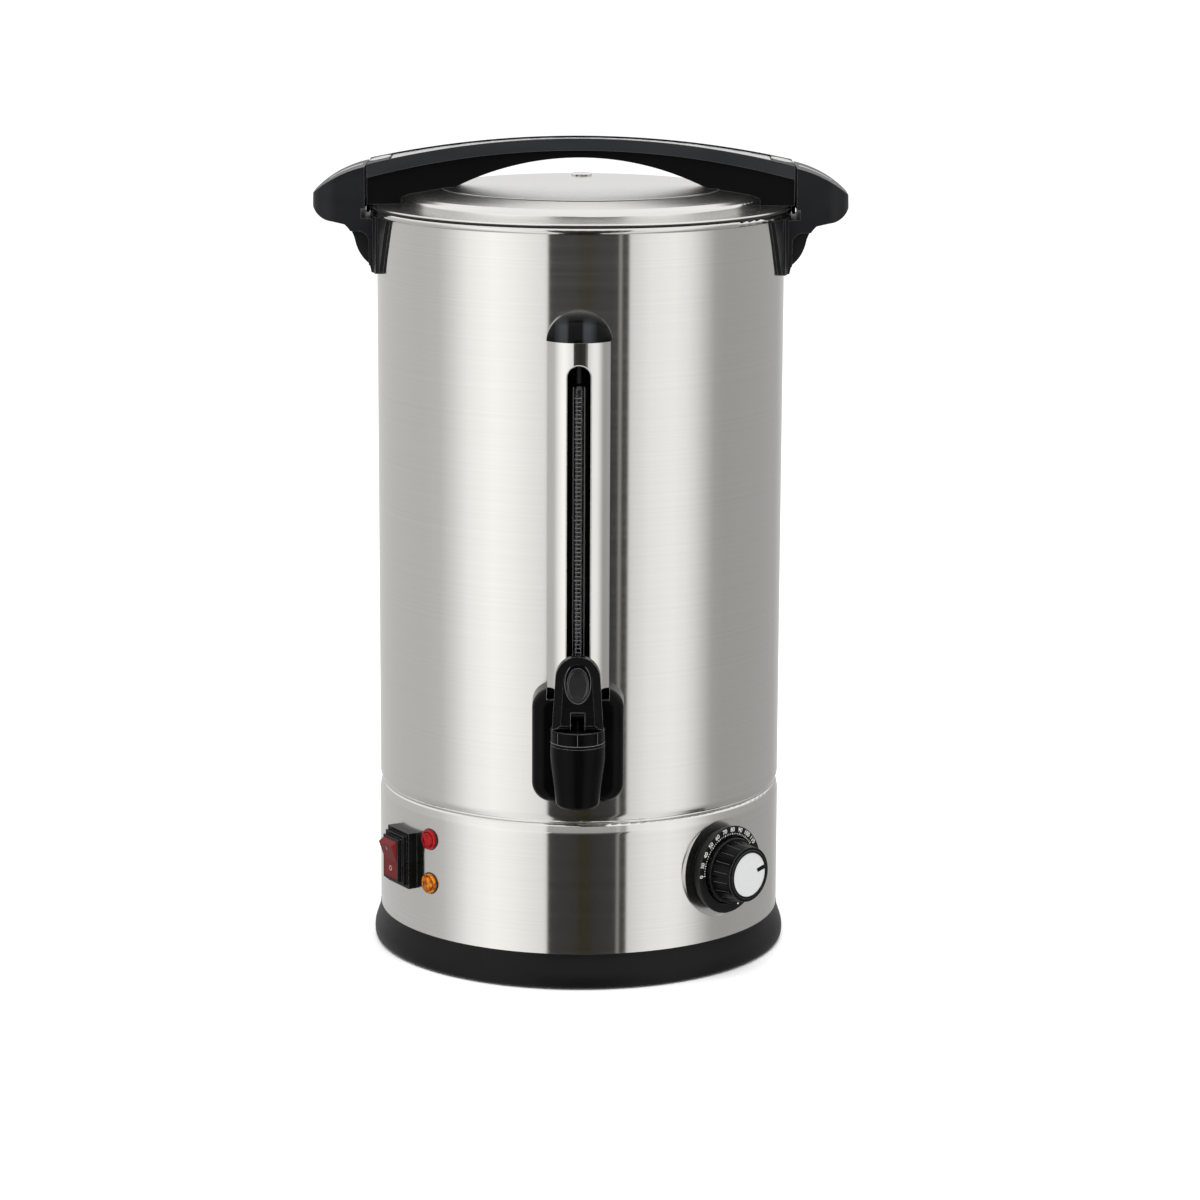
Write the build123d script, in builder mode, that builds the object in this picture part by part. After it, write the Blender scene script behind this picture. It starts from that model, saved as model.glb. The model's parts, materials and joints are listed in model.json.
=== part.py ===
"""Coffee urn of about twenty litres: a steel tank on a steel skirt, with a self-closing tap,
a sight gauge, a lift-off lid and a percolator.

Millimetres. Z is up, the tap faces -Y, and the origin is on the urn's axis, on the table.
Angles round the urn are counted from the tap, positive towards +X.
"""

import os
from math import cos, radians, sin, sqrt

from build123d import *

os.makedirs("parts", exist_ok=True)

# ---------------------------------------------------------------- driving dimensions

# Tank and skirt, spun from sheet
tank_radius = 135.0
tank_height = 383.3  # seam under the tank to the foot of the rolled rim
tank_sheet = 0.8
rim_wire = 2.4  # section radius of the rolled rim
seam_depth = 1.4  # how far both edges turn in at the seam
tank_knuckle = 5.0  # height of the tank's rounded lower edge
seam_bend = 2.5
shoulder_bend = 8.0
well_bend = 3.0
well_radius = 38.0
well_depth = 12.0
skirt_proud = 0.3  # skirt's radius over the tank's
skirt_height = 87.9  # lower edge of the skirt to the seam
skirt_sheet = 0.8
skirt_shoulder = 6.8  # height of the skirt's rounded upper edge
skirt_flange = 15.0  # width of the flange turned in under the tank

# Base ring and what closes it
base_height = 23.4
base_proud = 0.3  # top of the base ring over the skirt
base_flare = 3.9
base_flare_height = 6.0
base_toe = 3.3
base_wall = 3.2
base_ledge = 14.0  # width of the ledge that carries the bottom plate
base_ledge_height = 11.0
spigot_height = 10.0
foot_width = 6.0
foot_thickness = 2.6
foot_proud = 0.6
bottom_sheet = 1.0
bottom_screw_count = 4
bottom_screw_radius = 2.0
bottom_screw_head = 3.6
bottom_screw_length = 8.0
vent_count = 12
vent_length = 22.0
vent_width = 4.0
tie_rod_radius = 3.0
tie_nut_size = 5.5
tie_nut_height = 5.0

# Heater under the tank
heater_inner_radius = 44.0
heater_outer_radius = 96.0
heater_thickness = 6.0
element_ring_radius = 70.0
element_radius = 3.3
element_gap_angle = 30.0
element_leg = 16.0
heater_stud_count = 3
heater_stud_ring = 88.0
heater_stud_radius = 2.5
heater_nut_size = 4.5
cutout_radius = 9.5
cutout_height = 11.0
cutout_edge = 1.0
cutout_ring = 56.0
cutout_tab_width = 6.3
cutout_tab_length = 8.0

# Lid
lid_flange_inset = 0.8  # lid's edge inside the rim's
lid_flange_width = 19.0
lid_shoulder_width = 5.6
lid_slope_width = 22.0
lid_plateau_rise = 12.2  # above the rim, at the plateau's edge
lid_dome = 0.8
lid_step = 0.6
lid_shoulder_rise = 8.3
lid_wall_rise = 6.0  # top of the lid's upright wall above the rim
lid_wall_bend = 2.6
lid_flange_rise = 0.9
lid_sheet = 0.8
lid_bump_radius = 7.0  # the low boss pressed up near the lid's back
lid_bump_height = 2.2
lid_bump_inset = 20.0

# Lid handle, an arch along X
arch_overhang = 0.9  # each end beyond the rim
arch_rise = 44.6  # crown above the rim
arch_end_rise = 28.4
arch_band = 7.8  # height of the arch's face at its crown
arch_end_band = 8.9
arch_half_width = 12.0
arch_end_half_width = 25.5
arch_recess = 2.6  # how far the lower face is set back
window_half_length = 84.0
window_rise = 31.9
window_foot_rise = 12.0
trough_depth = 1.0
trough_lip = 2.0
trough_end = 14.3  # from the trough's end to the arch's
lid_screw_inset = 10.0
lid_screw_radius = 2.0

# Side handles
handle_top_rise = 26.9
handle_overhang = 41.6  # tip beyond the tank's wall
handle_gap = 1.5  # between a side handle and the end of the arch
handle_tip_rise = 8.8
handle_tip_height = 8.6
handle_shelf_drop = 10.9  # underside of the grip, below the rim
handle_shelf_width = 21.6
handle_foot_drop = 42.4
handle_foot_thickness = 2.4
handle_brow = 2.6  # how far the top of the grip bows out
handle_tip_lean = 0.4
handle_curl_length = 13.2  # where the curl under the tip ends
handle_curl_rise = 1.9
handle_curl_bow = 2.2
gusset_waist_inset = 6.6  # where the gusset's edge turns from hollow to full
gusset_waist_drop = 11.6
gusset_hollow = 1.1
gusset_belly = 1.7
gusset_toe = 1.0
gusset_toe_height = 4.4
handle_half_width = 27.5
handle_block_half_width = 36.8
handle_block_thickness = 4.2
wing_half_width = 55.0
wing_foot_half_width = 39.0
wing_thickness = 2.6
handle_pocket = 7.0
handle_pocket_rib = 4.4
rim_groove_gap = 7.3  # bottom of the groove outside the rim
rim_groove_drop = 7.0
rim_groove_roof = 0.4  # roof of the groove below the rim's top
handle_tip_corner = 16.0
handle_screw_drop = 24.0
handle_screw_turn = 6.0  # degrees to each side of the handle's middle
handle_screw_radius = 2.4
handle_screw_length = 11.0
handle_screw_head = 2.2
handle_seal_thickness = 1.2

# Tap
tap_gap = 0.5  # between the tap's body and its housing
tap_outlet_rise = 23.7  # outlet above the seam
tap_outlet_radius = 13.5
tap_top_radius = 17.5
tap_body_height = 40.4
tap_wall_bore = 10.0
tap_seat_height = 15.0  # valve seat above the outlet's edge
tap_seat_bore = 7.0
tap_spout_edge = 3.0
tap_top_edge = 0.5
tap_boss_radius = 11.0
bonnet_step = 0.25
bonnet_height = 10.5
bonnet_spigot = 7.0
bonnet_top = 3.0
stem_radius = 2.5
stem_eye_radius = 4.0
stem_eye_width = 8.4
lever_pin_radius = 1.5
lever_pin_length = 26.0
lever_pin_height = 8.1  # pin above the bonnet
lever_width = 32.7
lever_top_width = 28.6
lever_height = 47.0
lever_depth = 6.5  # back of the lever behind its pin
lever_bevel = 5.2
lever_bevel_depth = 3.0
lever_toe_edge = 1.0
lever_slot_width = 9.0
lever_slot_rise = 4.7
lever_travel = 40.0  # degrees
lever_lift = 5.0  # how far the full travel lifts the stem
badge_half_width = 8.2
badge_half_height = 12.9
badge_recess = 0.5
badge_rise = 23.0
seat_cup_radius = 9.0
seat_cup_height = 6.0
spring_radius = 6.0
spring_wire = 0.7
spring_turns = 5
shank_rise = 25.0  # shank above the outlet
shank_radius = 9.0
shank_bore = 5.0
shank_flange = 14.0
shank_flange_thickness = 3.0
shank_inside = 12.0
shank_nipple = 6.5
seal_thickness = 2.0
shank_nut_size = 13.5
shank_nut_height = 6.0
housing_width = 59.0
housing_height = 75.0
housing_rise = 8.5  # centre of the housing above the shank
housing_depth = 25.0  # front of the housing off the tank
housing_corner = 13.0
housing_edge = 9.0
housing_wall = 2.5

# Sight gauge
gauge_width = 39.5
gauge_sagitta = 11.0
gauge_depth = 25.0  # front of the cover off the tank
gauge_overlap = 6.3  # how far the cover runs down inside the housing
gauge_length = 229.3
gauge_sheet = 1.2
gauge_slot_width = 15.5
gauge_slot_margin = 14.2  # cover left above the slot
gauge_tube_radius = 4.4
gauge_tube_wall = 0.9
gauge_tube_drop = 12.1  # top of the glass below the slot's
gauge_boss_radius = 6.6
gauge_boss_rise = 20.0
gauge_seal_height = 4.0
gauge_backing_width = 26.0
gauge_backing_thickness = 1.5
gauge_cap_height = 17.6
gauge_cap_proud = 0.9
gauge_cap_lip = 3.0
gauge_plug_radius = 7.0
gauge_plug_pin = 1.5

# Controls on the skirt
control_rise = 48.6  # knob and switch above the foot of the skirt
knob_angle = 44.5
pad_radius = 33.0
pad_depth = 1.3
dial_radius = 29.3
dial_thickness = 1.2
knob_flange_radius = 22.5
knob_flange_thickness = 3.0
knob_radius = 20.6
knob_front_radius = 18.3
knob_length = 24.0
knob_flutes = 14
knob_flute_radius = 2.6
knob_cap_radius = 15.5
knob_cap_thickness = 1.2
pointer_angle = 75.0  # clockwise from straight up
pointer_width = 1.8
pointer_length = 6.0
pointer_margin = 2.0
shaft_radius = 3.0
shaft_flat = 0.6
shaft_length = 36.0
bush_radius = 4.8
bush_length = 6.0
bush_nut_size = 8.0
bush_nut_height = 2.5
knob_gap = 0.8
knob_recess = 3.2
thermostat_size = 36.0
thermostat_depth = 22.0
lamp_angle = -46.0
lamp_red_rise = 17.4
lamp_amber_drop = 12.6
lamp_radius = 7.25
lamp_proud = 5.0
lamp_rim = 2.6
lamp_stem_radius = 5.0
lamp_holder_radius = 6.5
lamp_holder_length = 20.0
lamp_plug_length = 9.0
switch_angle = -58.2
switch_width = 28.0
switch_height = 38.0
switch_flange = 5.6
switch_step_inset = 2.2
switch_steps = 2
switch_step_rise = 3.0
rocker_width = 17.0
rocker_height = 27.8
rocker_wall = 0.35  # clearance round the rocker
rocker_crown = 5.1  # the rocker's middle in front of its pivot
rocker_back = 3.0
rocker_pivot_rise = 6.6  # pivot off the skirt
rocker_travel = 20.0  # degrees
rocker_pivot_radius = 1.5
rocker_pivot_length = 1.4
switch_body_depth = 24.0
switch_neck = 7.0
switch_tab_width = 6.3
switch_tab_length = 8.0

# Inlet at the back
inlet_rise = 42.6
inlet_width = 28.0
inlet_height = 52.0
inlet_flange = 3.0
inlet_cavity_width = 16.5
inlet_cavity_height = 24.5
inlet_cavity_depth = 17.0
inlet_wall = 2.4
inlet_pin_width = 2.0
inlet_pin_height = 4.0
inlet_pin_spacing = 7.0
inlet_screw_spacing = 40.0
inlet_screw_radius = 1.9
inlet_screw_head = 3.4
inlet_screw_length = 9.0
inlet_chamfer = 3.0
inlet_pin_length = 15.0
inlet_pin_tail = 6.0
inlet_pin_offset = 2.0

# Percolator
perc_tube_radius = 6.5
perc_tube_wall = 0.8
perc_head_drop = 31.3  # top of the tube below the rim
perc_foot_radius = 34.0
perc_foot_height = 10.0
basket_drop = 155.3  # underside of the basket below the rim
basket_radius = 96.0
basket_depth = 76.0
basket_sheet = 0.8
basket_hub_radius = 9.0
basket_lip = 3.0
basket_foot_width = 8.0  # the wall's foot, turned in over the floor
basket_slot_rings = (34.0, 54.0, 74.0)
basket_slot_count = 12
basket_slot_length = 12.0
basket_slot_width = 2.0
spreader_rise = 5.0
spreader_hole_rings = (30.0, 52.0, 74.0)
spreader_hole_count = 10
spreader_hole_radius = 1.6

# Clearances
running_clearance = 0.05
seat_clearance = 0.1
loose_clearance = 0.3

# ---------------------------------------------------------------- levels and radii that follow

skirt_bottom = base_height
seam_level = skirt_bottom + skirt_height
wall_top = seam_level + tank_height
rim_top = wall_top + 2 * rim_wire
well_floor = seam_level - well_depth + tank_sheet

tank_inner_radius = tank_radius - tank_sheet
rim_radius = tank_radius - tank_sheet / 2 + 2 * rim_wire
skirt_radius = tank_radius + skirt_proud
base_top_radius = skirt_radius + base_proud

lid_flange_radius = rim_radius - lid_flange_inset
lid_wall_radius = lid_flange_radius - lid_flange_width
lid_shoulder_radius = lid_wall_radius - lid_shoulder_width
lid_plateau_radius = lid_shoulder_radius - lid_slope_width
arch_reach = rim_radius + arch_overhang

tap_outlet_height = seam_level + tap_outlet_rise
shank_height = tap_outlet_height + shank_rise
housing_level = shank_height + housing_rise
housing_top = housing_level + housing_height / 2
housing_front = tank_radius + housing_depth
tap_reach = housing_front + tap_gap + tap_top_radius
bonnet_level = tap_outlet_height + tap_body_height + bonnet_height
seat_level = tap_outlet_height + tap_seat_height
pin_level = bonnet_level + lever_pin_height

gauge_foot_height = housing_top - gauge_overlap
gauge_top = gauge_foot_height + gauge_length
gauge_front = tank_radius + gauge_depth
gauge_slot_top = gauge_top - gauge_slot_margin
gauge_tube_top = gauge_slot_top - gauge_tube_drop
gauge_tube_reach = housing_front - housing_wall - loose_clearance - gauge_boss_radius

control_level = skirt_bottom + control_rise
pad_reach = skirt_radius - pad_depth
lamp_red_level = control_level + lamp_red_rise
lamp_amber_level = control_level - lamp_amber_drop
inlet_level = skirt_bottom + inlet_rise


def facing(angle, height, reach):
    """A plane that looks straight out from the urn's axis, with X to the right and Y up."""
    turn = radians(angle)
    return Plane(
        origin=(reach * sin(turn), -reach * cos(turn), height),
        x_dir=(cos(turn), sin(turn), 0),
        z_dir=(sin(turn), -cos(turn), 0),
    )


# ---------------------------------------------------------------- base

spigot_radius = skirt_radius - skirt_sheet - seat_clearance
ledge_radius = base_top_radius - base_ledge
ledge_level = base_ledge_height
foot_groove_radius = base_top_radius - base_toe - foot_width / 2
bottom_screw_ring = ledge_radius + base_wall

with BuildPart() as base_ring:
    with BuildSketch(Plane.XZ):
        with BuildLine():
            Polyline(
                (ledge_radius, ledge_level),
                (ledge_radius, foot_proud),
                (base_top_radius + base_flare - base_toe, foot_proud),
            )
            Spline(
                (base_top_radius + base_flare - base_toe, foot_proud),
                (base_top_radius + base_flare, base_flare_height),
                tangents=((1, 0), (0, 1)),
            )
            Spline(
                (base_top_radius + base_flare, base_flare_height),
                (base_top_radius, base_height),
                tangents=((0, 1), (0, 1)),
            )
            Polyline(
                (base_top_radius, base_height),
                (spigot_radius, base_height),
                (spigot_radius, base_height + spigot_height),
                (spigot_radius - base_wall, base_height + spigot_height),
                (spigot_radius - base_wall, ledge_level),
                (ledge_radius, ledge_level),
            )
        make_face()
    revolve(axis=Axis.Z)
    with BuildSketch(Plane.XY.offset(foot_proud)):
        Circle(foot_groove_radius + foot_width / 2)
        Circle(foot_groove_radius - foot_width / 2, mode=Mode.SUBTRACT)
    extrude(amount=foot_thickness - foot_proud, mode=Mode.SUBTRACT)
    with BuildSketch(Plane.XY.offset(ledge_level)):
        with PolarLocations(bottom_screw_ring, bottom_screw_count, start_angle=45):
            Circle(bottom_screw_radius + running_clearance)
    extrude(amount=-bottom_screw_length, mode=Mode.SUBTRACT)
base_ring.part.label = "base_ring"
export_step(base_ring.part, "parts/base_ring.step")

with BuildPart() as foot_ring:
    with BuildSketch():
        Circle(foot_groove_radius + foot_width / 2 - seat_clearance)
        Circle(foot_groove_radius - foot_width / 2 + seat_clearance, mode=Mode.SUBTRACT)
    extrude(amount=foot_thickness)
    chamfer(foot_ring.edges().group_by(Axis.Z)[0], foot_proud / 2)
foot_ring.part.label = "foot_ring"
export_step(foot_ring.part, "parts/foot_ring.step")

bottom_plate_radius = spigot_radius - base_wall - seat_clearance

with BuildPart() as bottom_plate:
    with BuildSketch(Plane.XY.offset(ledge_level)):
        Circle(bottom_plate_radius)
        Circle(tie_rod_radius + seat_clearance, mode=Mode.SUBTRACT)
        with PolarLocations(bottom_screw_ring, bottom_screw_count, start_angle=45):
            Circle(bottom_screw_radius + seat_clearance, mode=Mode.SUBTRACT)
        with PolarLocations(bottom_plate_radius / 2, vent_count):
            SlotOverall(vent_length, vent_width, mode=Mode.SUBTRACT)
    extrude(amount=bottom_sheet)
bottom_plate.part.label = "bottom_plate"
export_step(bottom_plate.part, "parts/bottom_plate.step")

with BuildPart() as bottom_screws:
    with BuildSketch(Plane.XY.offset(ledge_level + bottom_sheet)):
        with PolarLocations(bottom_screw_ring, bottom_screw_count, start_angle=45):
            Circle(bottom_screw_radius)
    extrude(amount=loose_clearance - bottom_screw_length)
    with BuildSketch(Plane.XY.offset(ledge_level + bottom_sheet)):
        with PolarLocations(bottom_screw_ring, bottom_screw_count, start_angle=45):
            Circle(bottom_screw_head)
    extrude(amount=bottom_screw_radius)
bottom_screws.part.label = "bottom_screws"
export_step(bottom_screws.part, "parts/bottom_screws.step")

# ---------------------------------------------------------------- tank and skirt

tap_hole = shank_radius + seat_clearance
handle_screw_level = rim_top - handle_screw_drop
handle_screw_turns = [
    side + turn for side in (90, -90) for turn in (handle_screw_turn, -handle_screw_turn)
]

with BuildPart() as tank:
    with BuildSketch(Plane.XZ):
        with BuildLine():
            FilletPolyline(
                (0, seam_level - well_depth),
                (well_radius, seam_level - well_depth),
                (well_radius, seam_level),
                (tank_radius - seam_depth, seam_level),
                (tank_radius, seam_level + tank_knuckle),
                (tank_radius, wall_top + rim_wire),
                radius=(well_bend, well_bend, seam_bend, shoulder_bend),
            )
            offset(amount=tank_sheet, side=Side.LEFT)
        make_face()
    revolve(axis=Axis.Z)
    with BuildSketch(Plane.XZ):
        with Locations((rim_radius - rim_wire, wall_top + rim_wire)):
            Circle(rim_wire)
    revolve(axis=Axis.Z)
    with BuildSketch(facing(0, shank_height, 0)):
        Circle(tap_hole)
    extrude(amount=tank_radius + rim_wire, mode=Mode.SUBTRACT)
    for turn in handle_screw_turns:
        with BuildSketch(facing(turn, handle_screw_level, 0)):
            Circle(handle_screw_radius + seat_clearance)
        extrude(amount=tank_radius + rim_wire, mode=Mode.SUBTRACT)
tank.part.label = "tank"
export_step(tank.part, "parts/tank.step")


def skirt_form(inset):
    """The skirt's outside with no inset, or its inside with the sheet as inset."""
    radius = skirt_radius - inset
    with BuildPart() as form:
        with BuildSketch(Plane.XZ):
            with BuildLine():
                FilletPolyline(
                    (radius, skirt_bottom - inset),
                    (radius, seam_level - skirt_shoulder),
                    (radius - seam_depth, seam_level - inset),
                    (0, seam_level - inset),
                    radius=(shoulder_bend, seam_bend),
                )
                Polyline(
                    (0, seam_level - inset), (0, skirt_bottom - inset), (radius, skirt_bottom - inset)
                )
            make_face()
        revolve(axis=Axis.Z)
        with BuildSketch(facing(knob_angle, control_level, 0)):
            Circle(pad_radius - inset)
        extrude(amount=pad_reach - inset)
        with BuildSketch(facing(knob_angle, control_level, pad_reach - inset)):
            Circle(pad_radius + inset)
        extrude(amount=pad_radius, mode=Mode.SUBTRACT)
    return form.part


inlet_opening_width = inlet_cavity_width + 2 * inlet_wall
inlet_opening_height = inlet_cavity_height + 2 * inlet_wall
switch_opening_width = rocker_width + 2 * rocker_wall + 2 * switch_step_inset
switch_opening_height = rocker_height + 2 * rocker_wall + 2 * switch_step_inset

with BuildPart() as skirt:
    add(skirt_form(0))
    add(skirt_form(skirt_sheet), mode=Mode.SUBTRACT)
    with BuildSketch(Plane.XY.offset(seam_level)):
        Circle(skirt_radius - skirt_flange)
    extrude(amount=-2 * skirt_sheet, mode=Mode.SUBTRACT)
    with BuildSketch(facing(knob_angle, control_level, 0)):
        Circle(bush_radius + seat_clearance)
    extrude(amount=2 * tank_radius, mode=Mode.SUBTRACT)
    for level in (lamp_red_level, lamp_amber_level):
        with BuildSketch(facing(lamp_angle, level, 0)):
            Circle(lamp_stem_radius + seat_clearance)
        extrude(amount=2 * tank_radius, mode=Mode.SUBTRACT)
    with BuildSketch(facing(switch_angle, control_level, 0)):
        Rectangle(switch_opening_width + 2 * seat_clearance, switch_opening_height + 2 * seat_clearance)
    extrude(amount=2 * tank_radius, mode=Mode.SUBTRACT)
    with BuildSketch(facing(180, inlet_level, 0)):
        Rectangle(inlet_opening_width + 2 * seat_clearance, inlet_opening_height + 2 * seat_clearance)
        with GridLocations(1, inlet_screw_spacing, 1, 2):
            Circle(inlet_screw_radius + seat_clearance)
    extrude(amount=2 * tank_radius, mode=Mode.SUBTRACT)
skirt.part.label = "skirt"
export_step(skirt.part, "parts/skirt.step")

# ---------------------------------------------------------------- heater

heater_foot = seam_level - heater_thickness

with BuildPart() as heater_plate:
    with BuildSketch(Plane.XY.offset(heater_foot)):
        Circle(heater_outer_radius)
        Circle(heater_inner_radius, mode=Mode.SUBTRACT)
        with PolarLocations(heater_stud_ring, heater_stud_count, start_angle=90):
            Circle(heater_stud_radius + seat_clearance, mode=Mode.SUBTRACT)
    extrude(amount=heater_thickness)
    with BuildSketch(Plane.XZ):
        with Locations((element_ring_radius, heater_foot)):
            Circle(element_radius + seat_clearance)
    revolve(axis=Axis.Z, mode=Mode.SUBTRACT)
heater_plate.part.label = "heater_plate"
export_step(heater_plate.part, "parts/heater_plate.step")

with BuildPart() as heater_element:
    with BuildSketch(Plane.XZ.rotated((0, 0, element_gap_angle / 2))):
        with Locations((element_ring_radius, heater_foot)):
            Circle(element_radius)
    revolve(axis=Axis.Z, revolution_arc=360 - element_gap_angle)
    for end in (element_gap_angle / 2, -element_gap_angle / 2):
        leg_x = element_ring_radius * cos(radians(end))
        leg_y = element_ring_radius * sin(radians(end))
        with BuildSketch(Plane((leg_x, leg_y, heater_foot))):
            Circle(element_radius)
        extrude(amount=-element_leg)
heater_element.part.label = "heater_element"
export_step(heater_element.part, "parts/heater_element.step")

stud_nut_height = 2 * heater_stud_radius

with BuildPart() as heater_studs:
    with PolarLocations(heater_stud_ring, heater_stud_count, start_angle=90):
        with Locations((0, 0, heater_foot - 2 * stud_nut_height)):
            Cylinder(
                heater_stud_radius,
                heater_thickness + 2 * stud_nut_height,
                align=(Align.CENTER, Align.CENTER, Align.MIN),
            )
    with BuildSketch(Plane.XY.offset(heater_foot)):
        with PolarLocations(heater_stud_ring, heater_stud_count, start_angle=90):
            RegularPolygon(heater_nut_size, 6)
    extrude(amount=-stud_nut_height)
heater_studs.part.label = "heater_studs"
export_step(heater_studs.part, "parts/heater_studs.step")

# a bimetal disc that cuts the power when the tank boils dry, held against the plate
with BuildPart() as boil_dry_cutout:
    with BuildSketch(Plane((0, cutout_ring, heater_foot))):
        Circle(cutout_radius)
    extrude(amount=-cutout_height)
    fillet(boil_dry_cutout.edges().group_by(Axis.Z)[0], cutout_edge)
    with BuildSketch(Plane((0, cutout_ring, heater_foot - cutout_height))):
        with GridLocations(cutout_radius, 1, 2, 1):
            Rectangle(tank_sheet, cutout_tab_width)
    extrude(amount=-cutout_tab_length)
boil_dry_cutout.part.label = "boil_dry_cutout"
export_step(boil_dry_cutout.part, "parts/boil_dry_cutout.step")

tie_rod_foot = ledge_level - tie_nut_height - loose_clearance

with BuildPart() as tie_rod:
    with BuildSketch(Plane.XY.offset(seam_level - well_depth)):
        Circle(2 * tie_rod_radius)
    extrude(amount=-tie_rod_radius)
    with BuildSketch(Plane.XY.offset(seam_level - well_depth)):
        Circle(tie_rod_radius)
    extrude(amount=tie_rod_foot - seam_level + well_depth)
tie_rod.part.label = "tie_rod"
export_step(tie_rod.part, "parts/tie_rod.step")

with BuildPart() as tie_nut:
    with BuildSketch(Plane.XY.offset(ledge_level)):
        RegularPolygon(tie_nut_size, 6)
        Circle(tie_rod_radius + running_clearance, mode=Mode.SUBTRACT)
    extrude(amount=-tie_nut_height)
    with BuildSketch(Plane.XY.offset(ledge_level)):
        Circle(tie_nut_size)
        Circle(tie_rod_radius + running_clearance, mode=Mode.SUBTRACT)
    extrude(amount=-bottom_sheet)
tie_nut.part.label = "tie_nut"
export_step(tie_nut.part, "parts/tie_nut.step")

# ---------------------------------------------------------------- lid

plateau_level = rim_top + lid_plateau_rise
flange_level = rim_top + lid_flange_rise
lid_screw_reach = lid_shoulder_radius - lid_screw_inset


def lid_form(inset):
    """The lid's outside with no inset, or its underside with the sheet as inset."""
    with BuildPart() as form:
        with BuildSketch(Plane.XZ):
            with BuildLine():
                ThreePointArc(
                    (0, plateau_level + lid_dome - inset),
                    (lid_plateau_radius / 2, plateau_level + 3 * lid_dome / 4 - inset),
                    (lid_plateau_radius, plateau_level - inset),
                )
                FilletPolyline(
                    (lid_plateau_radius, plateau_level - inset),
                    (lid_plateau_radius + lid_step, plateau_level - lid_step - inset),
                    (lid_shoulder_radius - inset, rim_top + lid_shoulder_rise - inset),
                    (lid_wall_radius - inset, rim_top + lid_wall_rise - inset),
                    (lid_wall_radius - inset, rim_top),
                    radius=(lid_step / 2, 2 * lid_wall_bend, lid_wall_bend),
                )
                Polyline(
                    (lid_wall_radius - inset, rim_top),
                    (0, rim_top),
                    (0, plateau_level + lid_dome - inset),
                )
            make_face()
        revolve(axis=Axis.Z)
        with BuildSketch(Plane((0, lid_plateau_radius - lid_bump_inset, rim_top))):
            Circle(lid_bump_radius - inset)
        extrude(amount=lid_plateau_rise + lid_bump_height - inset)
        fillet(form.edges().group_by(Axis.Z)[-1], lid_bump_height / 2)
    return form.part


with BuildPart() as lid_pan:
    add(lid_form(0))
    # the flange ends in a tight hem, which lies on the rim's wire
    with BuildSketch(Plane.XZ):
        with Locations((lid_wall_radius - lid_sheet, rim_top)):
            Rectangle(
                lid_flange_radius - lid_wall_radius + lid_sheet - lid_flange_rise,
                2 * lid_flange_rise,
                align=(Align.MIN, Align.MIN),
            )
        with Locations((lid_flange_radius - lid_flange_rise, flange_level)):
            Circle(lid_flange_rise)
    revolve(axis=Axis.Z)
    add(lid_form(lid_sheet), mode=Mode.SUBTRACT)
    with BuildSketch(Plane.XY.offset(rim_top)):
        Circle(lid_wall_radius - lid_sheet)
    extrude(amount=lid_sheet, mode=Mode.SUBTRACT)
    with BuildSketch(Plane.XY.offset(rim_top)):
        with GridLocations(2 * lid_screw_reach, 1, 2, 1):
            Circle(lid_screw_radius + seat_clearance)
    extrude(amount=2 * lid_plateau_rise, mode=Mode.SUBTRACT)
lid_pan.part.label = "lid_pan"
export_step(lid_pan.part, "parts/lid_pan.step")


def arch_outline(half_width, end_half_width):
    """The arch seen from above: narrow at its crown and wide at its ends."""
    with BuildSketch() as outline:
        with BuildLine():
            ThreePointArc(
                (-arch_reach, -end_half_width), (0, -half_width), (arch_reach, -end_half_width)
            )
            Line((arch_reach, -end_half_width), (arch_reach, end_half_width))
            ThreePointArc(
                (arch_reach, end_half_width), (0, half_width), (-arch_reach, end_half_width)
            )
            Line((-arch_reach, end_half_width), (-arch_reach, -end_half_width))
        make_face()
    return outline.sketch


def arch_slice(top_rise, top_end_rise, foot_rise, foot_end_rise):
    """The arch seen from the front, between two arcs."""
    with BuildSketch() as side_view:
        with BuildLine():
            ThreePointArc(
                (-arch_reach, rim_top + top_end_rise),
                (0, rim_top + top_rise),
                (arch_reach, rim_top + top_end_rise),
            )
            Line((arch_reach, rim_top + top_end_rise), (arch_reach, rim_top + foot_end_rise))
            ThreePointArc(
                (arch_reach, rim_top + foot_end_rise),
                (0, rim_top + foot_rise),
                (-arch_reach, rim_top + foot_end_rise),
            )
            Line((-arch_reach, rim_top + foot_end_rise), (-arch_reach, rim_top + top_end_rise))
        make_face()
    return side_view.sketch


def window(foot_rise, top_rise, half_length):
    """The hand hole between the arch and the lid, seen from the front."""
    with BuildSketch() as opening:
        with BuildLine():
            ThreePointArc(
                (-half_length, rim_top + foot_rise),
                (0, rim_top + top_rise),
                (half_length, rim_top + foot_rise),
            )
            Polyline(
                (half_length, rim_top + foot_rise),
                (half_length, rim_top),
                (-half_length, rim_top),
                (-half_length, rim_top + foot_rise),
            )
        make_face()
    return opening.sketch


arch_height = arch_rise + trough_depth

with BuildPart() as arch_face:
    with BuildSketch(Plane.XY.offset(rim_top)):
        add(arch_outline(arch_half_width, arch_end_half_width))
    extrude(amount=arch_height)
    with BuildSketch(Plane.XZ):
        add(arch_slice(arch_rise, arch_end_rise, arch_rise - arch_band, arch_end_rise - arch_end_band))
    extrude(amount=arch_end_half_width, both=True, mode=Mode.INTERSECT)

with BuildPart() as arch_trough:
    with BuildSketch(Plane.XY.offset(rim_top)):
        add(arch_outline(arch_half_width - trough_lip, arch_end_half_width - trough_lip))
    extrude(amount=arch_height)
    with BuildSketch(Plane.XZ):
        add(
            arch_slice(
                arch_height,
                arch_end_rise + trough_depth,
                arch_rise - trough_depth,
                arch_end_rise - trough_depth,
            )
        )
        Rectangle(2 * (arch_reach - trough_end), 3 * rim_top, mode=Mode.INTERSECT)
    extrude(amount=arch_end_half_width, both=True, mode=Mode.INTERSECT)

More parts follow.
